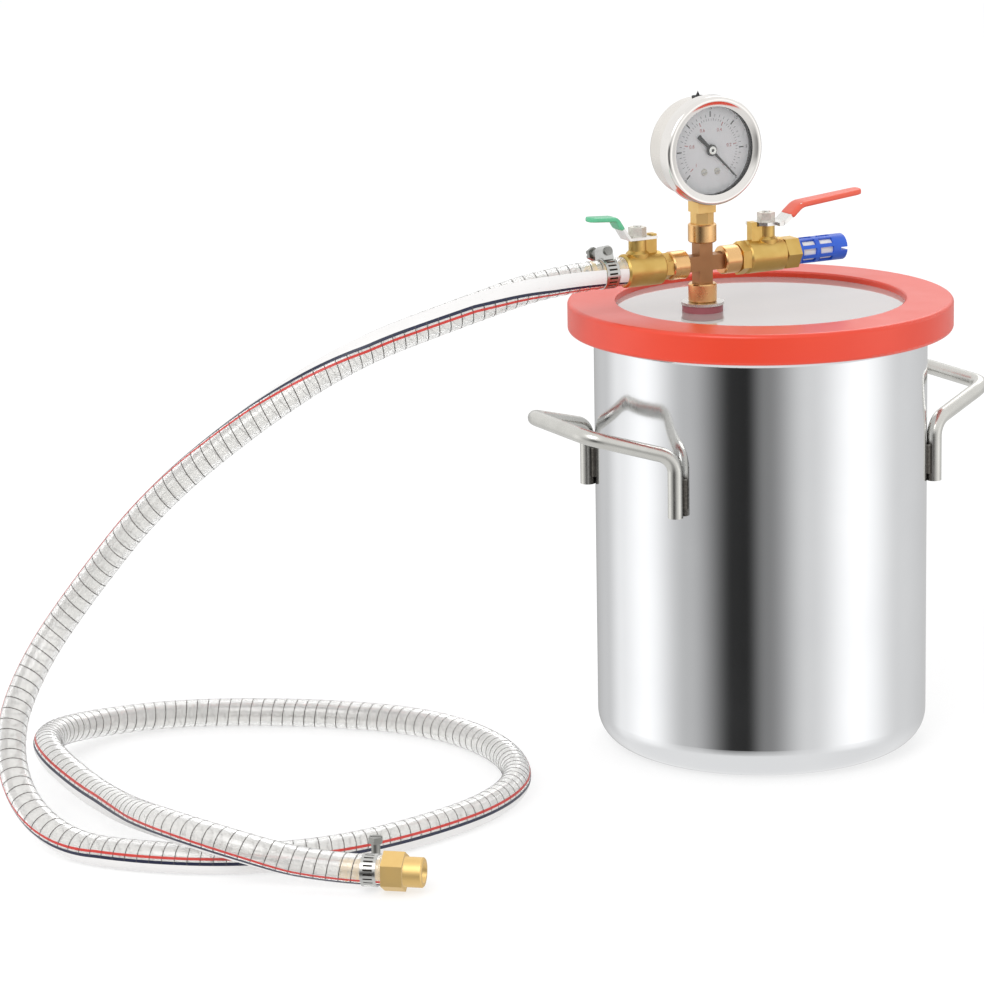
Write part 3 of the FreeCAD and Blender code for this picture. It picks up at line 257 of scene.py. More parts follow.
def grained(name, pale, deep, rough, grain, depth, drift=14, sockets=None):
    """An opaque finish: colour and gloss drift between two values over drift millimetres, and a
    relief of the given depth has grains of the given size, x, y and z, all in millimetres. Grains
    and lines too fine for the render are drawn as coarse as they need to show."""
    made, tree = bare(name)
    place, clouds, tint = drifting(tree, pale, deep, drift, 4)
    spots = add(tree, "ShaderNodeMapping", {"Vector": place, "Scale": [1 / (size * MM) for size in grain]})
    relief = add(tree, "ShaderNodeTexNoise", {"Vector": spots.outputs[0], "Scale": 1, "Detail": 3})
    gloss = add(tree, "ShaderNodeMapRange", {
        "Value": clouds, "From Min": 0.3, "From Max": 0.7, "To Min": rough[0], "To Max": rough[1]})
    bumps = add(tree, "ShaderNodeBump", {
        "Height": relief.outputs["Fac"], "Strength": 1, "Distance": depth * MM})
    skin = add(tree, "ShaderNodeBsdfPrincipled", {
        "Base Color": tint, "Roughness": gloss.outputs[0], "Normal": bumps.outputs[0], **(sockets or {})})
    add(tree, "ShaderNodeOutputMaterial", {"Surface": skin.outputs[0]})
    return made


def clear(name, pale, deep, haze, drift, detail, sockets, ripple=None):
    """A clear finish: colour and haze drift between two values over drift millimetres, and where a
    ripple is given, the skin rises and falls with them by so many millimetres."""
    made, tree = bare(name)
    place, clouds, tint = drifting(tree, pale, deep, drift, detail)
    blur = add(tree, "ShaderNodeMapRange", {"Value": clouds, "To Min": haze[0], "To Max": haze[1]})
    skin = add(tree, "ShaderNodeBsdfPrincipled", {
        "Base Color": tint, "Roughness": blur.outputs[0], **sockets})
    if ripple:
        bumps = add(tree, "ShaderNodeBump", {"Height": clouds, "Strength": 1, "Distance": ripple * MM})
        tree.links.new(bumps.outputs[0], skin.inputs["Normal"])
    add(tree, "ShaderNodeOutputMaterial", {"Surface": skin.outputs[0]})
    return made


METAL = {"Metallic": 1.0}
# Clear plasticised vinyl. Its wall is faintly milky, so that the near wires show well and the far
# ones hardly do, and its skin is smooth but not flat.
clear_vinyl = clear("clear_extruded_vinyl", "#FBFBF9", "#F5F4F1", (0.05, 0.14), 5, 2,
                    {"IOR": 1.53, "Transmission Weight": 0.72}, ripple=0.25)
# Spring-steel wire: drawn steel, dull and dark grey.
spring_wire = grained("drawn_spring_wire", "#6C6865", "#565350", (0.3, 0.45), (0.6, 0.6, 0.6), 0.01,
                      sockets=METAL)
# Coloured vinyl drawn into the wall with the clear vinyl: solid colour under a glossy skin.
red_stripe = grained("red_striped_vinyl", "#CE3B33", "#BC322C", (0.3, 0.4), (2, 2, 2), 0.01)
navy_stripe = grained("navy_striped_vinyl", "#161D3E", "#111733", (0.3, 0.4), (2, 2, 2), 0.01)
white_stripe = grained("white_striped_vinyl", "#ECEAE9", "#E3E2E1", (0.3, 0.4), (2, 2, 2), 0.01)

curve = bpy.data.curves.new("hose_route", "CURVE")
curve.dimensions = "3D"
curve.resolution_u = 16
spline = curve.splines.new("NURBS")
spline.points.add(len(hose_route) - 1)
spline.points.foreach_set("co", np.hstack([np.array(hose_route), np.ones((len(hose_route), 1))]).ravel())
spline.order_u = 3
spline.use_endpoint_u = True
route_object = bpy.data.objects.new("hose_route", curve)
bpy.context.scene.collection.objects.link(route_object)
bpy.context.view_layer.update()
drawn = bpy.data.meshes.new_from_object(route_object)
hose_line = np.empty(len(drawn.vertices) * 3)
drawn.vertices.foreach_get("co", hose_line)
hose_line = hose_line.reshape(-1, 3)
bpy.data.objects.remove(route_object)
run = np.concatenate([[0], np.cumsum(np.linalg.norm(np.diff(hose_line, axis=0), axis=1))])
hose_length = float(run[-1])


def unit(vectors):
    """Each vector over its own length."""
    return vectors / np.linalg.norm(vectors, axis=-1, keepdims=True)


def along(distance, values):
    """Values given at the route's points, read at other distances along it, each part by itself."""
    return np.stack([np.interp(distance, run, values[:, k]) for k in range(values.shape[1])], -1)


hose_heading = unit(np.gradient(hose_line, run, axis=0))
hose_side = unit(np.cross(hose_heading, (0, 0, 1)))
hose_up = np.cross(hose_side, hose_heading)


def round_hose(distance, radius, angle):
    """Points on a circle about the route: middle + radius (cos angle side + sin angle up)."""
    side, up = along(distance, hose_side), along(distance, hose_up)
    outward = np.cos(angle)[..., None] * side + np.sin(angle)[..., None] * up
    return along(distance, hose_line) + radius * outward


def swept(distance, radii, angles):
    """A grid of points along the hose whose columns have the given radii and angles."""
    grid = np.broadcast_to(np.asarray(distance)[:, None], (len(distance), len(radii)))
    radius = np.broadcast_to(radii, grid.shape).reshape(-1, 1)
    angle = np.broadcast_to(np.asarray(angles), grid.shape).ravel()
    return round_hose(grid.ravel(), radius, angle).reshape(grid.shape + (3,))


def pipe(distance, outer, inner):
    """A round wall along the hose: outside there and inside back, as one grid that closes on itself."""
    circle = np.linspace(0, 2 * np.pi, HOSE_SIDES, endpoint=False)
    return np.concatenate([swept(distance, np.full(HOSE_SIDES, outer), circle),
                           swept(distance[::-1], np.full(HOSE_SIDES, inner), circle)])


hose = show("hose", surface("hose", pipe(run, HOSE_RADIUS, HOSE_BORE), loop=True), clear_vinyl)

# The wire turns once in every pitch; each point of its round section stands at
# middle + wire radius (cos a outward + sin a across), with across at right angles to the wire.
steps = np.arange(WIRE_MARGIN, hose_length - WIRE_MARGIN, WIRE_PITCH / STEPS_A_TURN)
wire_line = round_hose(steps, WIRE_TURN, 2 * np.pi * steps / WIRE_PITCH)
outward = unit(wire_line - along(steps, hose_line))
across = unit(np.cross(np.gradient(wire_line, axis=0), outward))
section = np.linspace(0, 2 * np.pi, WIRE_SIDES, endpoint=False)[None, :, None]
wire_points = wire_line[:, None] + WIRE_RADIUS * (
    np.cos(section) * outward[:, None] + np.sin(section) * across[:, None])
wire = show("hose_wire", surface("hose_wire", wire_points), spring_wire)
carry(hose, "chamber", "hose_vinyl", "vacuum_hose")
carry(wire, "chamber", "bright_steel")
hose_pieces = [wire]

# The way that the stripes face, as the tables above give it, and the angle of that way round the
# hose. Each stripe is a thin strip let into the wall at its own step beside it.
toward_front = np.array(VIEWPOINT) - hose_line
front = unit(toward_front - (toward_front * hose_heading).sum(1, keepdims=True) * hose_heading)
over = np.cross(hose_heading, front)
share = run / hose_length
lean = np.radians(np.interp(share, *zip(*turned_by)))[:, None]
outward = unit((hose_line - LOOP_MIDDLE) * (1, 1, 0))
raised = np.radians(np.interp(share, *zip(*raised_by)))[:, None]
late = np.interp(share, ON_LOOP, (0, 1))[:, None]
final = np.interp(share, AT_END, (0, 1))[:, None]
on_fall = np.cos(lean) * front + np.sin(lean) * over
on_loop = np.cos(raised) * outward + np.sin(raised) * np.array((0, 0, 1))
way = on_fall * (1 - late) + on_loop * late
way = way * (1 - final) + final * np.array(END_WAY)
stripe_turn = np.unwrap(np.arctan2((way * hose_up).sum(1), (way * hose_side).sum(1)))
for name, vinyl, slot, step, half_width, proud in (
        ("hose_stripe_red", red_stripe, "grip_red", RED_STEP, RED_HALF, STRIPE_PROUD),
        ("hose_stripe_navy", navy_stripe, "silencer_blue", NAVY_STEP, NAVY_HALF, STRIPE_PROUD),
        ("hose_stripe_white", white_stripe, "white_seat", WHITE_STEP, WHITE_HALF, WHITE_PROUD)):
    spread = np.linspace(-half_width, half_width, STRIPE_COLUMNS) / HOSE_RADIUS
    angles = stripe_turn[:, None] + step / HOSE_RADIUS + np.concatenate([spread, spread[::-1]])
    radii = np.repeat((HOSE_RADIUS + proud, HOSE_RADIUS - STRIPE_DEPTH), STRIPE_COLUMNS)
    stripe = show(name, surface(name, swept(run, radii, angles)), vinyl)
    carry(stripe, "chamber", slot)
    hose_pieces.append(stripe)

# Hose clamps
# Worm-drive bands of rolled stainless strip with punched slots, through which the band's inner end shows,
# coloured near black as painted shade. Each has a pressed housing and a hexagon screw. They hold the hose's
# two ends.
CLAMP_AT_VALVE, CLAMP_AT_END = 10.75 * MM, 7.5 * MM
TAIL_INNER, TAIL_OUTER, TAIL_HALF = 8.7 * MM, 8.95 * MM, 3.1 * MM
valve_clamp, end_clamp = (
    [clamp + "_clamp_" + piece for piece in ("band", "housing", "screw")] for clamp in ("valve", "end"))


def dress(surface_finish, *nodes):
    """Gives CAD nodes their finish."""
    for node in nodes:
        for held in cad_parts[node].material_slots:
            held.material = surface_finish


# Rolling leaves long fine lines, which blur the mirrored set along the band.
rolled_strip = grained("rolled_stainless_strip", "#C9C9C6", "#B2B2AF", (0.2, 0.32), (12, 0.4, 0.4), 0.01,
                       sockets=METAL)
# Plated in a barrel: darker than the band, with soft edges and small uneven patches.
dark_screw = grained("zinc_plated_screw", "#9C9C98", "#7E7E7A", (0.25, 0.4), (1, 1, 1), 0.02, drift=4,
                     sockets=METAL)
# The same strip under the slots, coloured nearly black as painted shade, with hardly a gleam.
painted_shade_strip = grained("inner_strip_painted_shade", "#35322F", "#262422", (0.4, 0.5), (1, 1, 1), 0.01, drift=4,
                     sockets=METAL)
for *pressed, screw in (valve_clamp, end_clamp):
    dress(rolled_strip, *pressed)
    dress(dark_screw, screw)
# The band's inner ends under the slots are drawn in the near-black painted shade.
for name, middle in (("valve_clamp_tail_painted_shade", CLAMP_AT_VALVE), ("end_clamp_tail_painted_shade", hose_length - CLAMP_AT_END)):
    reach = np.linspace(middle - TAIL_HALF, middle + TAIL_HALF, 3)
    tail = show(name, surface(name, pipe(reach, TAIL_OUTER, TAIL_INNER), loop=True, crease=30), painted_shade_strip)
    carry(tail, "chamber", "bright_steel")
    hose_pieces.append(tail)

# Pump fitting
# Turned from hexagon brass bar: barb, hexagon and a female thread for the pump. Bright yellow
# faces with fine turning lines. The polished metal mirrors neither it nor the hose, as in the
# photo, so all of them are left out of glossy rays.
hexagon_brass = grained("turned_hexagon_brass", "#EACA8B", "#DDBA76", (0.46, 0.56), (0.8, 0.8, 0.8), 0.006,
                        sockets=METAL)
dress(hexagon_brass, "hose_end_fitting")
for thing in [hose] + hose_pieces + [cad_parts[node] for node in end_clamp + ["hose_end_fitting"]]:
    thing.visible_glossy = False

# Pot
# Deep-drawn stainless steel with a flared rim under the lid's ring, polished against a wheel, so
# that its fine lines run round it. It mirrors the studio nearly sharply, and fingers and wiping
# leave faint duller clouds.
POT_RADIUS, RIM_SIDES = 100 * MM, 160
# Each pair is how far the rim's outline stands out from the wall and up from the ring's underside,
# in millimetres.
RIM_FLARE = np.array((
    (0, -4.2), (0.25, -3.2), (0.7, -2.2), (1.4, -1.2), (2.4, -0.5), (3.4, -0.05), (0, -0.05)))
mirror_steel = grained("polished_stainless", "#E3E4E5", "#D9DADC", (0.07, 0.12), (60, 60, 0.5), 0.004,
                       drift=60, sockets=METAL)
dress(mirror_steel, "pot")
under_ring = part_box("lid_gasket")[0][2]
bearing = np.linspace(0, 2 * np.pi, RIM_SIDES, endpoint=False)[:, None]
rim_radius, rim_up = POT_RADIUS + RIM_FLARE[:, 0] * MM, under_ring + RIM_FLARE[:, 1] * MM
rim_points = np.stack([
    rim_radius * np.cos(bearing), rim_radius * np.sin(bearing), rim_up + 0 * bearing], -1)
rim = show("pot_rim_flare", surface("pot_rim_flare", rim_points, loop=True), mirror_steel)
carry(rim, "chamber", "pot_steel")

# Handles
# Bent stainless rod, left satin, with its two feet welded upright to the wall. Each bead and the
# rod beside it are burnt brown and dull by the torch.
BEAD_REACH, SOOT_REACH, BEAD_HIGH, BEAD_FADE = 2.7 * MM, 4.32 * MM, 186 * MM, 4 * MM
SOOT_GRAIN, SOOT_ROUGH = 1.1 * MM, 0.42
rod_steel = grained("satin_stainless_rod", "#D2D1CC", "#BEBDB8", (0.22, 0.32), (3, 3, 3), 0.01,
                    sockets=METAL)
tree = rod_steel.node_tree
skin = tree.nodes["Principled BSDF"]
place = add(tree, "ShaderNodeTexCoord").outputs["Object"]
level = add(tree, "ShaderNodeSeparateXYZ", {"Vector": place})
flat = add(tree, "ShaderNodeVectorMath", {0: place, 1: (1, 1, 0)}, operation="MULTIPLY")
distance = add(tree, "ShaderNodeVectorMath", {0: flat.outputs[0]}, operation="LENGTH")
near_wall = add(tree, "ShaderNodeMapRange", {
    "Value": distance.outputs["Value"], "From Min": POT_RADIUS + BEAD_REACH,
    "From Max": POT_RADIUS + SOOT_REACH, "To Min": 1, "To Max": 0})
below = add(tree, "ShaderNodeMapRange", {
    "Value": level.outputs["Z"], "From Min": BEAD_HIGH - BEAD_FADE, "From Max": BEAD_HIGH,
    "To Min": 1, "To Max": 0})
burnt = add(tree, "ShaderNodeMath", {0: near_wall.outputs[0], 1: below.outputs[0]}, operation="MULTIPLY")
patches = add(tree, "ShaderNodeTexNoise", {"Vector": place, "Scale": 1 / SOOT_GRAIN, "Detail": 3})
soot = add(tree, "ShaderNodeMixRGB", {
    "Fac": patches.outputs["Fac"], "Color1": linear("#1F1D1B"), "Color2": linear("#7C7872")})
for socket, dull in (("Base Color", soot.outputs[0]), ("Roughness", grey(SOOT_ROUGH))):
    clean = skin.inputs[socket].links[0].from_socket
    mixed = add(tree, "ShaderNodeMixRGB", {"Fac": burnt.outputs[0], "Color1": clean, "Color2": dull})
    tree.links.new(mixed.outputs[0], skin.inputs[socket])
dress(rod_steel, "handle_left", "handle_right")

# Lid ring
# Moulded orange-red silicone with a U section that grips the lid's edge. Its skin is matt with
# a broad soft sheen.
red_silicone = grained("moulded_silicone", "#E43E1C", "#DA3717", (0.28, 0.36), (1.2, 1.2, 1.2), 0.01,
                       drift=30, sockets={"IOR": 1.6})
dress(red_silicone, "lid_gasket")

# Lid
# Cast acrylic sheet 10 mm thick with a turned edge. Clear, but it lies on a polished pot that mirrors the
# pale studio, and its faces are rubbed by use. Its pale grey colour stands partly for the rubbed haze and
# partly, as painted reflection, for the mirrored pot beneath, and its faint rose tint is a painted
# reflection of the red ring.
acrylic = clear("rubbed_cast_acrylic", "#CDC4C1", "#C7BEBB", (0.0, 0.03), 40, 5,
                {"IOR": 1.49, "Transmission Weight": 0.25, "Coat Weight": 0.6, "Coat Roughness": 0.01})
dress(acrylic, "lid_plate")

# Port
# Brass stud and nut through the lid, with a thin steel washer on each face and under it a seal
# of silicone. Zinc over a blanked face gives the washers a soft bright grey, and the moulded
# seals are a dull rose-red.
zinc_washer = grained("zinc_plated_washer", "#D9D6D2", "#C2BFBB", (0.2, 0.32), (1, 1, 1), 0.01,
                      sockets=METAL)
rose_silicone = grained("rose_silicone", "#A65F66", "#96525A", (0.34, 0.46), (1.2, 1.2, 1.2), 0.02,
                        sockets={"IOR": 1.43})
dress(zinc_washer, "port_washer_upper", "port_washer_lower")
dress(rose_silicone, "port_seal_upper", "port_seal_lower")
dress(hexagon_brass, "port_nut", "port_stud")

# Cross and couplings
# The cross is an extruded bronze block with milled arms, left satin brown. The couplings are
# turned from brass bar and lightly polished, so that they show the set in soft golden bands.
satin_bronze = grained("milled_bronze", "#AE835C", "#9A7250", (0.4, 0.52), (0.3, 3, 0.3), 0.008,
                       sockets=METAL)
polished_brass = grained("polished_turned_brass", "#E9C08A", "#DCAE74", (0.24, 0.32), (0.5, 0.5, 0.5), 0.003,
                         sockets=METAL)
dress(satin_bronze, "cross_body")
dress(polished_brass, "coupling_top", "coupling_bottom", "coupling_left", "coupling_right")

# Valves
# Forged brass bodies, blasted and tumbled: yellow, with a soft uneven skin. Balls, stems, nuts
# and levers are plated steel, the nuts frosted, and seats and packings are white fluoropolymer.
AXIS_HEIGHT = 298.7 * MM
forged_brass = grained("tumbled_forged_brass", "#DABB74", "#C4A055", (0.32, 0.46), (1.6, 1.6, 1.6), 0.05,
                       drift=9, sockets=METAL)
plated_steel = grained("nickel_plated_steel", "#E6E5E2", "#D6D5D1", (0.2, 0.34), (1, 1, 1), 0.01,
                       sockets=METAL)
frosted_nut = grained("frosted_nickel_nut", "#F0EDE6", "#C6C2BA", (0.5, 0.62), (0.7, 0.7, 0.7), 0.12,
                      drift=1.2, sockets=METAL)
white_polymer = grained("white_fluoropolymer", "#F2F1ED", "#E8E7E2", (0.4, 0.5), (2, 2, 2), 0.01)
for valve in ("vent", "hose"):
    dress(forged_brass, valve + "_valve_body", valve + "_valve_end_piece")
    dress(plated_steel, valve + "_valve_ball", valve + "_valve_stem", valve + "_lever")
    dress(frosted_nut, valve + "_lever_nut")
    dress(white_polymer, valve + "_valve_seat_near", valve + "_valve_seat_far",
          valve + "_valve_packing")

# Lever grips
# Each lever's end is dipped in soft vinyl, which draws back from the steel's edges and sets with
# round corners, a round tip and a thin lip where the dip ended. Solid colour under a soft gloss.
GRIP_SQUARENESS, LIP_LENGTH, LIP_SHARE, TIP_SHORT = 4, 1.5, 0.55, 0.02
GRIP_SIDES, LIP_STEPS, BODY_STEPS, TIP_STEPS, BEND_STEPS = 32, 7, 40, 14, 13
DIP_COAT = {"Coat Weight": 0.15, "Coat Roughness": 0.35}
red_dip = grained("coral_dipped_vinyl", "#E8634A", "#DE573F", (0.34, 0.46), (1.5, 1.5, 1.5), 0.03,
                  sockets=DIP_COAT)
green_dip = grained("green_dipped_vinyl", "#62BE92", "#52AF82", (0.34, 0.46), (1.5, 1.5, 1.5), 0.03,
                    sockets=DIP_COAT)


def dipped(name, stem_x, sense, corners, half_widths, steel, coat, bend_reach):
    """A grip round a bent strip, from its lip over the bend to its tip, all but stem_x in millimetres.

    The middle line runs start, bend, tip, and a parabola from bend - reach to bend + reach rounds
    the bend: (1-t)(1-t) before + 2t(1-t) bend + t t after. Round it stand the points
    middle + a cos' across + b sin' normal with cos' = sign(cos) |cos|^(2/n), so that the section
    is a square-cornered ellipse of power n. a falls evenly from root to tip and then as a quarter
    circle over its own length, b as one over its own length too, and both start at the lip.
    """
    first, bend, last = (np.array(corner, float) for corner in corners)
    before = bend + bend_reach * unit(first - bend)
    after = bend + bend_reach * unit(last - bend)
    t = np.linspace(0, 1, BEND_STEPS)[:, None]
    arc = (1 - t) ** 2 * before + 2 * t * (1 - t) * bend + t ** 2 * after
    line = np.vstack([first, arc, last])
    gone = np.concatenate([[0], np.cumsum(np.linalg.norm(np.diff(line, axis=0), axis=1))])
    length = gone[-1]
    tip_half, thick = half_widths[1] + coat, steel / 2 + coat
    stations = np.unique(np.concatenate([
        np.linspace(0, LIP_LENGTH, LIP_STEPS), np.linspace(LIP_LENGTH, length - tip_half, BODY_STEPS),
        length - tip_half * np.cos(np.linspace(0, np.pi / 2, TIP_STEPS)), [length - TIP_SHORT]]))
    stations = stations[stations <= length - TIP_SHORT]
    x, z = (np.interp(stations, gone, line[:, k]) for k in range(2))
    slope = unit(np.stack([
        np.interp(stations, gone, np.gradient(line[:, k], gone)) for k in range(2)], -1))
    from_lip = (1 - stations / LIP_LENGTH).clip(0)
    lip = LIP_SHARE + (1 - LIP_SHARE) * np.sqrt(np.clip(1 - from_lip ** 2, 0, 1))
    over_tip = ((stations - (length - tip_half)) / tip_half).clip(0, 1)
    over_end = ((stations - (length - thick)) / thick).clip(0, 1)
    half = (np.interp(stations, (0, length), half_widths) + coat * lip) * np.sqrt(1 - over_tip ** 2)
    deep = (steel / 2 + coat * lip) * np.sqrt(1 - over_end ** 2)
    turn_round = np.linspace(0, 2 * np.pi, GRIP_SIDES, endpoint=False)
    cos, sin = np.cos(turn_round), np.sin(turn_round)
    power = 2 / GRIP_SQUARENESS
    across = half[:, None] * np.sign(cos) * np.abs(cos) ** power
    off = deep[:, None] * np.sign(sin) * np.abs(sin) ** power
    points = np.stack([stem_x + sense * (x[:, None] - off * slope[:, 1:]) * MM, across * MM,
                       AXIS_HEIGHT + (z[:, None] + off * slope[:, :1]) * MM], -1)
    return surface(name, points)


vent_mesh = dipped("vent_grip", stem_x=4.3 * MM, sense=1, half_widths=(5.6, 4.1), steel=2.0, coat=0.9,
                   corners=((15.0, 22.67), (22.0, 28.6), (66.4, 32.8)), bend_reach=3.0)
hose_mesh = dipped("hose_grip", stem_x=-84.3 * MM, sense=-1, half_widths=(5.5, 3.8), steel=1.6, coat=0.7,
                   corners=((12.4, 25.83), (16.2, 31.8), (34.0, 33.0)), bend_reach=1.6)
for valve, mesh, dip, slot in (("vent", vent_mesh, red_dip, "grip_red"),
                               ("hose", hose_mesh, green_dip, "grip_green")):
    carry(show(valve + "_grip", mesh, dip), valve + "_spindle", slot, valve + "_lever_grip")

# Silencer
# Moulded blue cage with slots all round and a white felt tube inside it. The cage has a fine
# moulded grain and a soft gloss, and the felt is quite matt, with short fibres.
blue_cage = grained("moulded_blue_polypropylene", "#2D66DC", "#2659C8", (0.32, 0.45), (0.6, 0.6, 0.6), 0.015)
felt = grained("pressed_white_felt", "#FBF9F4", "#EFECE4", (0.9, 1.0), (0.4, 0.4, 0.4), 0.2,
               sockets={"Sheen Weight": 0.3})
dress(blue_cage, "silencer_body")
dress(felt, "silencer_filter")

# Gauge case
# Pressed stainless case with a rolled and polished bezel that closes it over a flat glass. Two thin
# near-black rings lie where the bezel meets the case and round the edge of the glass over the dial, and a
# rubber plug closes the filling hole.
GAUGE_MIDDLE = np.array((-0.04, 0, 0.3671))
HOOP_STEPS = 160
BEZEL_RADIUS, ROLL_RADIUS, ROLL_OUT = 32.3, 1.9, 14.3
# Fine lines run round the case and spread its highlights; the bezel mirrors the set nearly sharply.
case_steel = grained("satin_stainless_case", "#E6E2DC", "#D8D4CE", (0.22, 0.32), (30, 0.5, 30), 0.004,
                     sockets=METAL)
bezel_steel = grained("polished_stainless_bezel", "#E6E3DF", "#DBD8D4", (0.08, 0.14), (2, 2, 2), 0.004,
                      sockets=METAL)
plug_rubber = grained("black_moulded_rubber", "#17171A", "#212124", (0.5, 0.65), (0.8, 0.8, 0.8), 0.03)
# Drawn flat glass, quite clear, with faint marks of wiping in its gloss.
glass = clear("flat_window_glass", "#FDFEFD", None, (0.0, 0.03), 15, 3,
              {"IOR": 1.5, "Transmission Weight": 1.0})
dress(case_steel, "gauge_case")
dress(glass, "gauge_lens")
dress(hexagon_brass, "gauge_socket", "gauge_movement")
dress(plug_rubber, "gauge_fill_plug")
dress(satin_bronze, "gauge_bourdon_tube")


def on_gauge(across, up, out):
    """Points given in millimetres across, up and out of the dial's plane, seen from the front."""
    return GAUGE_MIDDLE + MM * np.stack(np.broadcast_arrays(across, -np.asarray(out, float), up), -1)


def hoop(name, outline, surface_finish, body, slot, *replaced):
    """A closed outline of (radius, out) pairs in millimetres, turned about the gauge's axis:
    radius cos a across, radius sin a up, and out. It is shown and carried on its body."""
    radius, out = np.array(outline, float).T
    angle = np.linspace(0, 2 * np.pi, HOOP_STEPS, endpoint=False)[:, None]
    points = on_gauge(radius * np.cos(angle), radius * np.sin(angle), out)
    carry(show(name, surface(name, points, loop=True, crease=30), surface_finish), body, slot, *replaced)


roll = [(BEZEL_RADIUS - ROLL_RADIUS + ROLL_RADIUS * math.cos(a), ROLL_OUT + ROLL_RADIUS * math.sin(a))
        for a in np.linspace(0, math.pi / 2, 9)]
bezel_outline = [(29.46, 6.3), (32.0, 6.3), (BEZEL_RADIUS, 6.6), *roll, (29.4, 16.12), (29.1, 15.95),
                 (27.8, 15.36), (26.5, 14.78), (26.2, 14.7), (26.25, 14.62), (29.46, 14.62)]
lens_dark_ring_outline = [(26.3, 9.12), (28.1, 9.12), (28.1, 12.38), (26.3, 12.38)]
case_dark_ring_outline = [(29.42, 4.7), (30.4, 4.7), (30.9, 5.2), (30.9, 5.8), (30.4, 6.28), (29.42, 6.28)]
hoop("gauge_bezel_rolled", bezel_outline, bezel_steel, "chamber", "gauge_steel", "gauge_bezel")
# The two thin rings take the plug's black finish and darken the joint of bezel and case and the rim of the
# glass.
hoop("gauge_lens_dark_ring", lens_dark_ring_outline, plug_rubber, "chamber", "plug_rubber")
hoop("gauge_case_dark_ring", case_dark_ring_outline, plug_rubber, "chamber", "plug_rubber")

# Gauge dial
# Silver-grey aluminium disc, printed with two plain scales of numbers: black outside and red
# inside. Two slotted screws hold it, and a black pointer turns on a bright cap at its middle.
PRINT_LOW, PRINT_HIGH = 9.105, 9.14
ZERO_ANGLE, BLACK_ANGLE, RED_ANGLE = -45, 45, 53.2
BLACK_NUMBERS = [str(5 * k) for k in range(7)]
RED_NUMBERS = ("0", "0.2", "0.4", "0.6", "0.8", "1")
# Inner radius, outer radius and width of each kind of line, and radius and size of the numbers.
BLACK_LINE, BLACK_NUMERAL = (19.6, 22.8, 0.75), (24.75, 2.5)
RED_LINE, RED_NUMERAL = (15.6, 18.0, 0.45), (12.9, 2.9)
OUTER_GREY_LINE, INNER_GREY_LINE = (19.6, 21.2, 0.3), (17.2, 18.6, 0.25)
SCREW_AWAY, SCREW_DOWN, SCREW_RADIUS = 4.4, 12.9, 1.95
SLOT_TURN, SLOT_HALF, DRAWN_TO = math.radians(20), 0.17, 0.55
# Matt anodising scatters the set into one even tone; the inks and the lacquer are matt as well.
dial_silver = grained("anodised_dial", "#FAF9FC", "#F2F1F5", (0.5, 0.6), (0.5, 0.5, 0.5), 0.005)
needle_black = grained("black_lacquered_needle", "#0C0C0C", "#121212", (0.5, 0.6), (2, 2, 2), 0.005)
black_print = grained("black_dial_ink", "#1B1B1D", "#232325", (0.5, 0.6), (2, 2, 2), 0.001)
grey_print = grained("grey_dial_ink", "#77767B", "#6C6B70", (0.5, 0.6), (2, 2, 2), 0.001)
red_print = grained("red_dial_ink", "#B4484E", "#A84046", (0.5, 0.6), (2, 2, 2), 0.001)
dress(dial_silver, "gauge_dial")
dress(needle_black, "gauge_needle")


def strokes(angles, low, high, width):
    """Corners and faces of thin upright blocks that point away from the middle, one for each angle:
    corner = radius (cos, sin) + half a width (-sin, cos), on two levels."""
    angle = np.radians(np.asarray(angles, float))[:, None]
    radius = np.tile((low, high, high, low), 2)
    aside = np.tile((-0.5, -0.5, 0.5, 0.5), 2) * width
    out = np.repeat((PRINT_LOW, PRINT_HIGH), 4)
    points = on_gauge(radius * np.cos(angle) - aside * np.sin(angle),
                      radius * np.sin(angle) + aside * np.cos(angle), out).reshape(-1, 3)
    block = np.array(((3, 2, 1, 0), (4, 5, 6, 7), (0, 1, 5, 4), (1, 2, 6, 5), (2, 3, 7, 6), (3, 0, 4, 7)))
    faces = (np.arange(len(angle))[:, None, None] * 8 + block).reshape(-1, 4)
    return points, faces.tolist()


def corners_and_faces(mesh):
    """A mesh's corners as rows of three, and its faces as lists of corner numbers."""
    flat = np.empty(len(mesh.vertices) * 3)
    mesh.vertices.foreach_get("co", flat)
    return flat.reshape(-1, 3), [list(face.vertices) for face in mesh.polygons]


def numeral(words, angle, radius, size):
    """Corners and faces of one upright number whose middle stands at this angle and radius."""
    writing = bpy.data.curves.new("numeral", "FONT")
    writing.body, writing.size, writing.extrude = words, size, 0.5
    writing.align_x, writing.align_y = "CENTER", "CENTER"
    holder = bpy.data.objects.new("numeral", writing)
    bpy.context.scene.collection.objects.link(holder)
    bpy.context.view_layer.update()
    solid = bpy.data.meshes.new_from_object(holder)
    points, faces = corners_and_faces(solid)
    out = np.where(points[:, 2] > 0, PRINT_HIGH, PRINT_LOW)
    turn = math.radians(angle)
    points = on_gauge(points[:, 0] + radius * math.cos(turn), points[:, 1] + radius * math.sin(turn),
                      out)
    bpy.data.objects.remove(holder)
    bpy.data.meshes.remove(solid)
    return points, faces


def printed(name, ink, slot, parts):
    """Shows one mesh of all the given corners and faces."""
    points, faces, first = [], [], 0
    for part_points, part_faces in parts:
        points.append(part_points)
        faces += [[first + corner for corner in face] for face in part_faces]
        first += len(part_points)
    mesh = bpy.data.meshes.new(name)
    mesh.from_pydata(np.vstack(points).tolist(), [], faces)
    carry(show(name, mesh, ink), "chamber", slot)


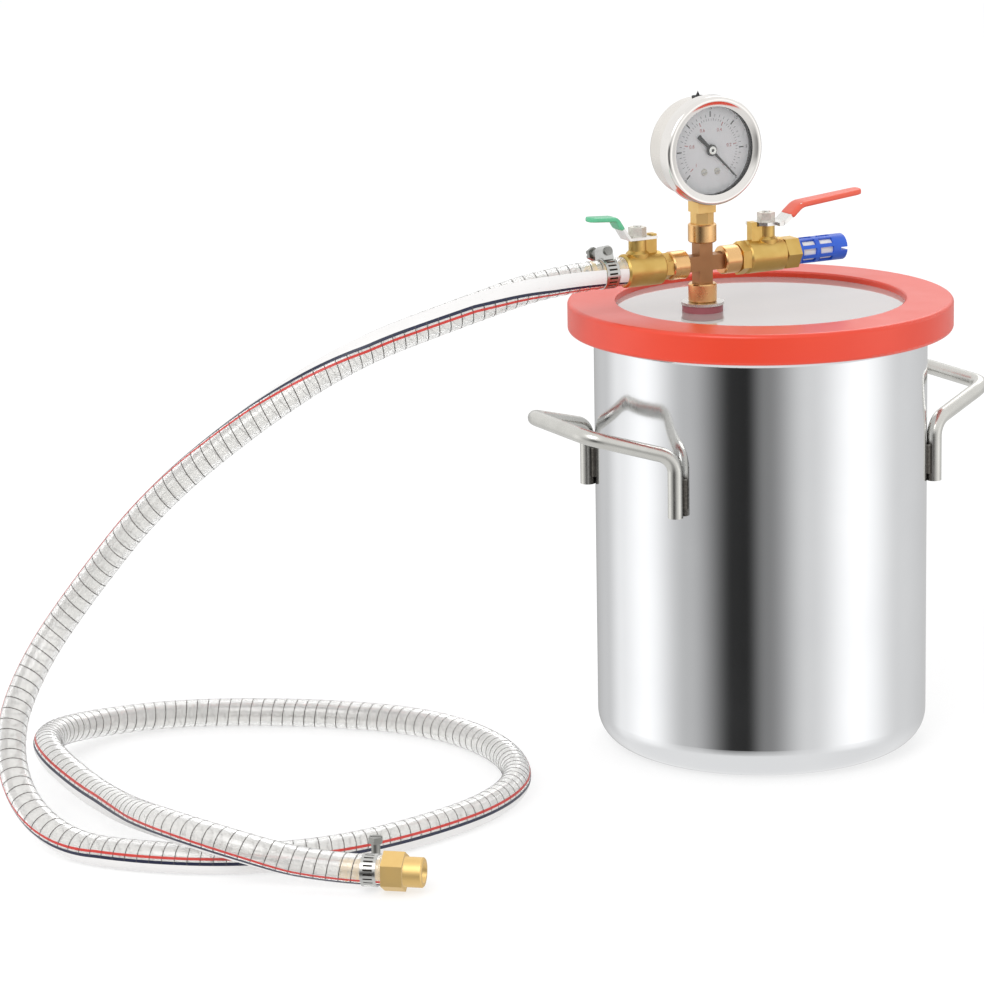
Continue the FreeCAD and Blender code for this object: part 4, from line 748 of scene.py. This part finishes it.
black_angles = [ZERO_ANGLE + BLACK_ANGLE * k for k in range(len(BLACK_NUMBERS))]
outer_grey_angles = [ZERO_ANGLE + BLACK_ANGLE * k / 5 for k in range(31) if k % 5]
inner_grey_angles = [ZERO_ANGLE + RED_ANGLE * k / 10 for k in range(51) if k % 10]
red_angles = [ZERO_ANGLE + RED_ANGLE * k for k in range(len(RED_NUMBERS))]
printed("dial_print_black", black_print, "needle_black", [strokes(black_angles, *BLACK_LINE)] + [
    numeral(number, angle, *BLACK_NUMERAL) for number, angle in zip(BLACK_NUMBERS, black_angles)])
printed("dial_print_grey", grey_print, "needle_black", [
    strokes(outer_grey_angles, *OUTER_GREY_LINE), strokes(inner_grey_angles, *INNER_GREY_LINE)])
printed("dial_print_red", red_print, "grip_red", [strokes(red_angles, *RED_LINE)] + [
    numeral(number, angle, *RED_NUMERAL) for number, angle in zip(RED_NUMBERS, red_angles)])

# A dial screw is two half discs with a slot between them: each outline is an arc closed by a
# chord, drawn in towards its middle near its top, and turned with the slot.
screw_levels, screw_shares = np.array((9.12, 9.75, 10.0, 10.0)), np.array((1, 1, 0.9, 0.4))
screw_halves = []
for middle_x in (-SCREW_AWAY, SCREW_AWAY):
    for half_side in (1, -1):
        arc = np.linspace(SLOT_HALF, math.pi - SLOT_HALF, 15)
        edge = SCREW_RADIUS * np.stack([np.cos(arc), half_side * np.sin(arc)], -1)
        middle = edge.mean(0) * (1, DRAWN_TO)
        drawn_in = middle + (edge - middle) * screw_shares[:, None, None]
        x, y = drawn_in[..., 0], drawn_in[..., 1]
        half_points = on_gauge(middle_x + x * math.cos(SLOT_TURN) - y * math.sin(SLOT_TURN),
                               x * math.sin(SLOT_TURN) + y * math.cos(SLOT_TURN) - SCREW_DOWN,
                               screw_levels[:, None])
        half_disc = surface("dial_screw_half", half_points, crease=30)
        screw_halves.append(corners_and_faces(half_disc))
        bpy.data.meshes.remove(half_disc)
printed("dial_screws", frosted_nut, "bright_steel", screw_halves)
boss_outline = [(2.62, 10.35), (3.4, 10.35), (3.4, 11.2), (3.1, 11.5), (2.62, 11.5)]
cap_outline = [(0.9, 12.105), (2.45, 12.105), (2.45, 12.2), (2.3, 12.3), (1.0, 12.3), (0.9, 12.2)]
hoop("pointer_boss", boss_outline, needle_black, "gauge_pointer", "needle_black")
hoop("pointer_cap", cap_outline, plated_steel, "gauge_pointer", "bright_steel")
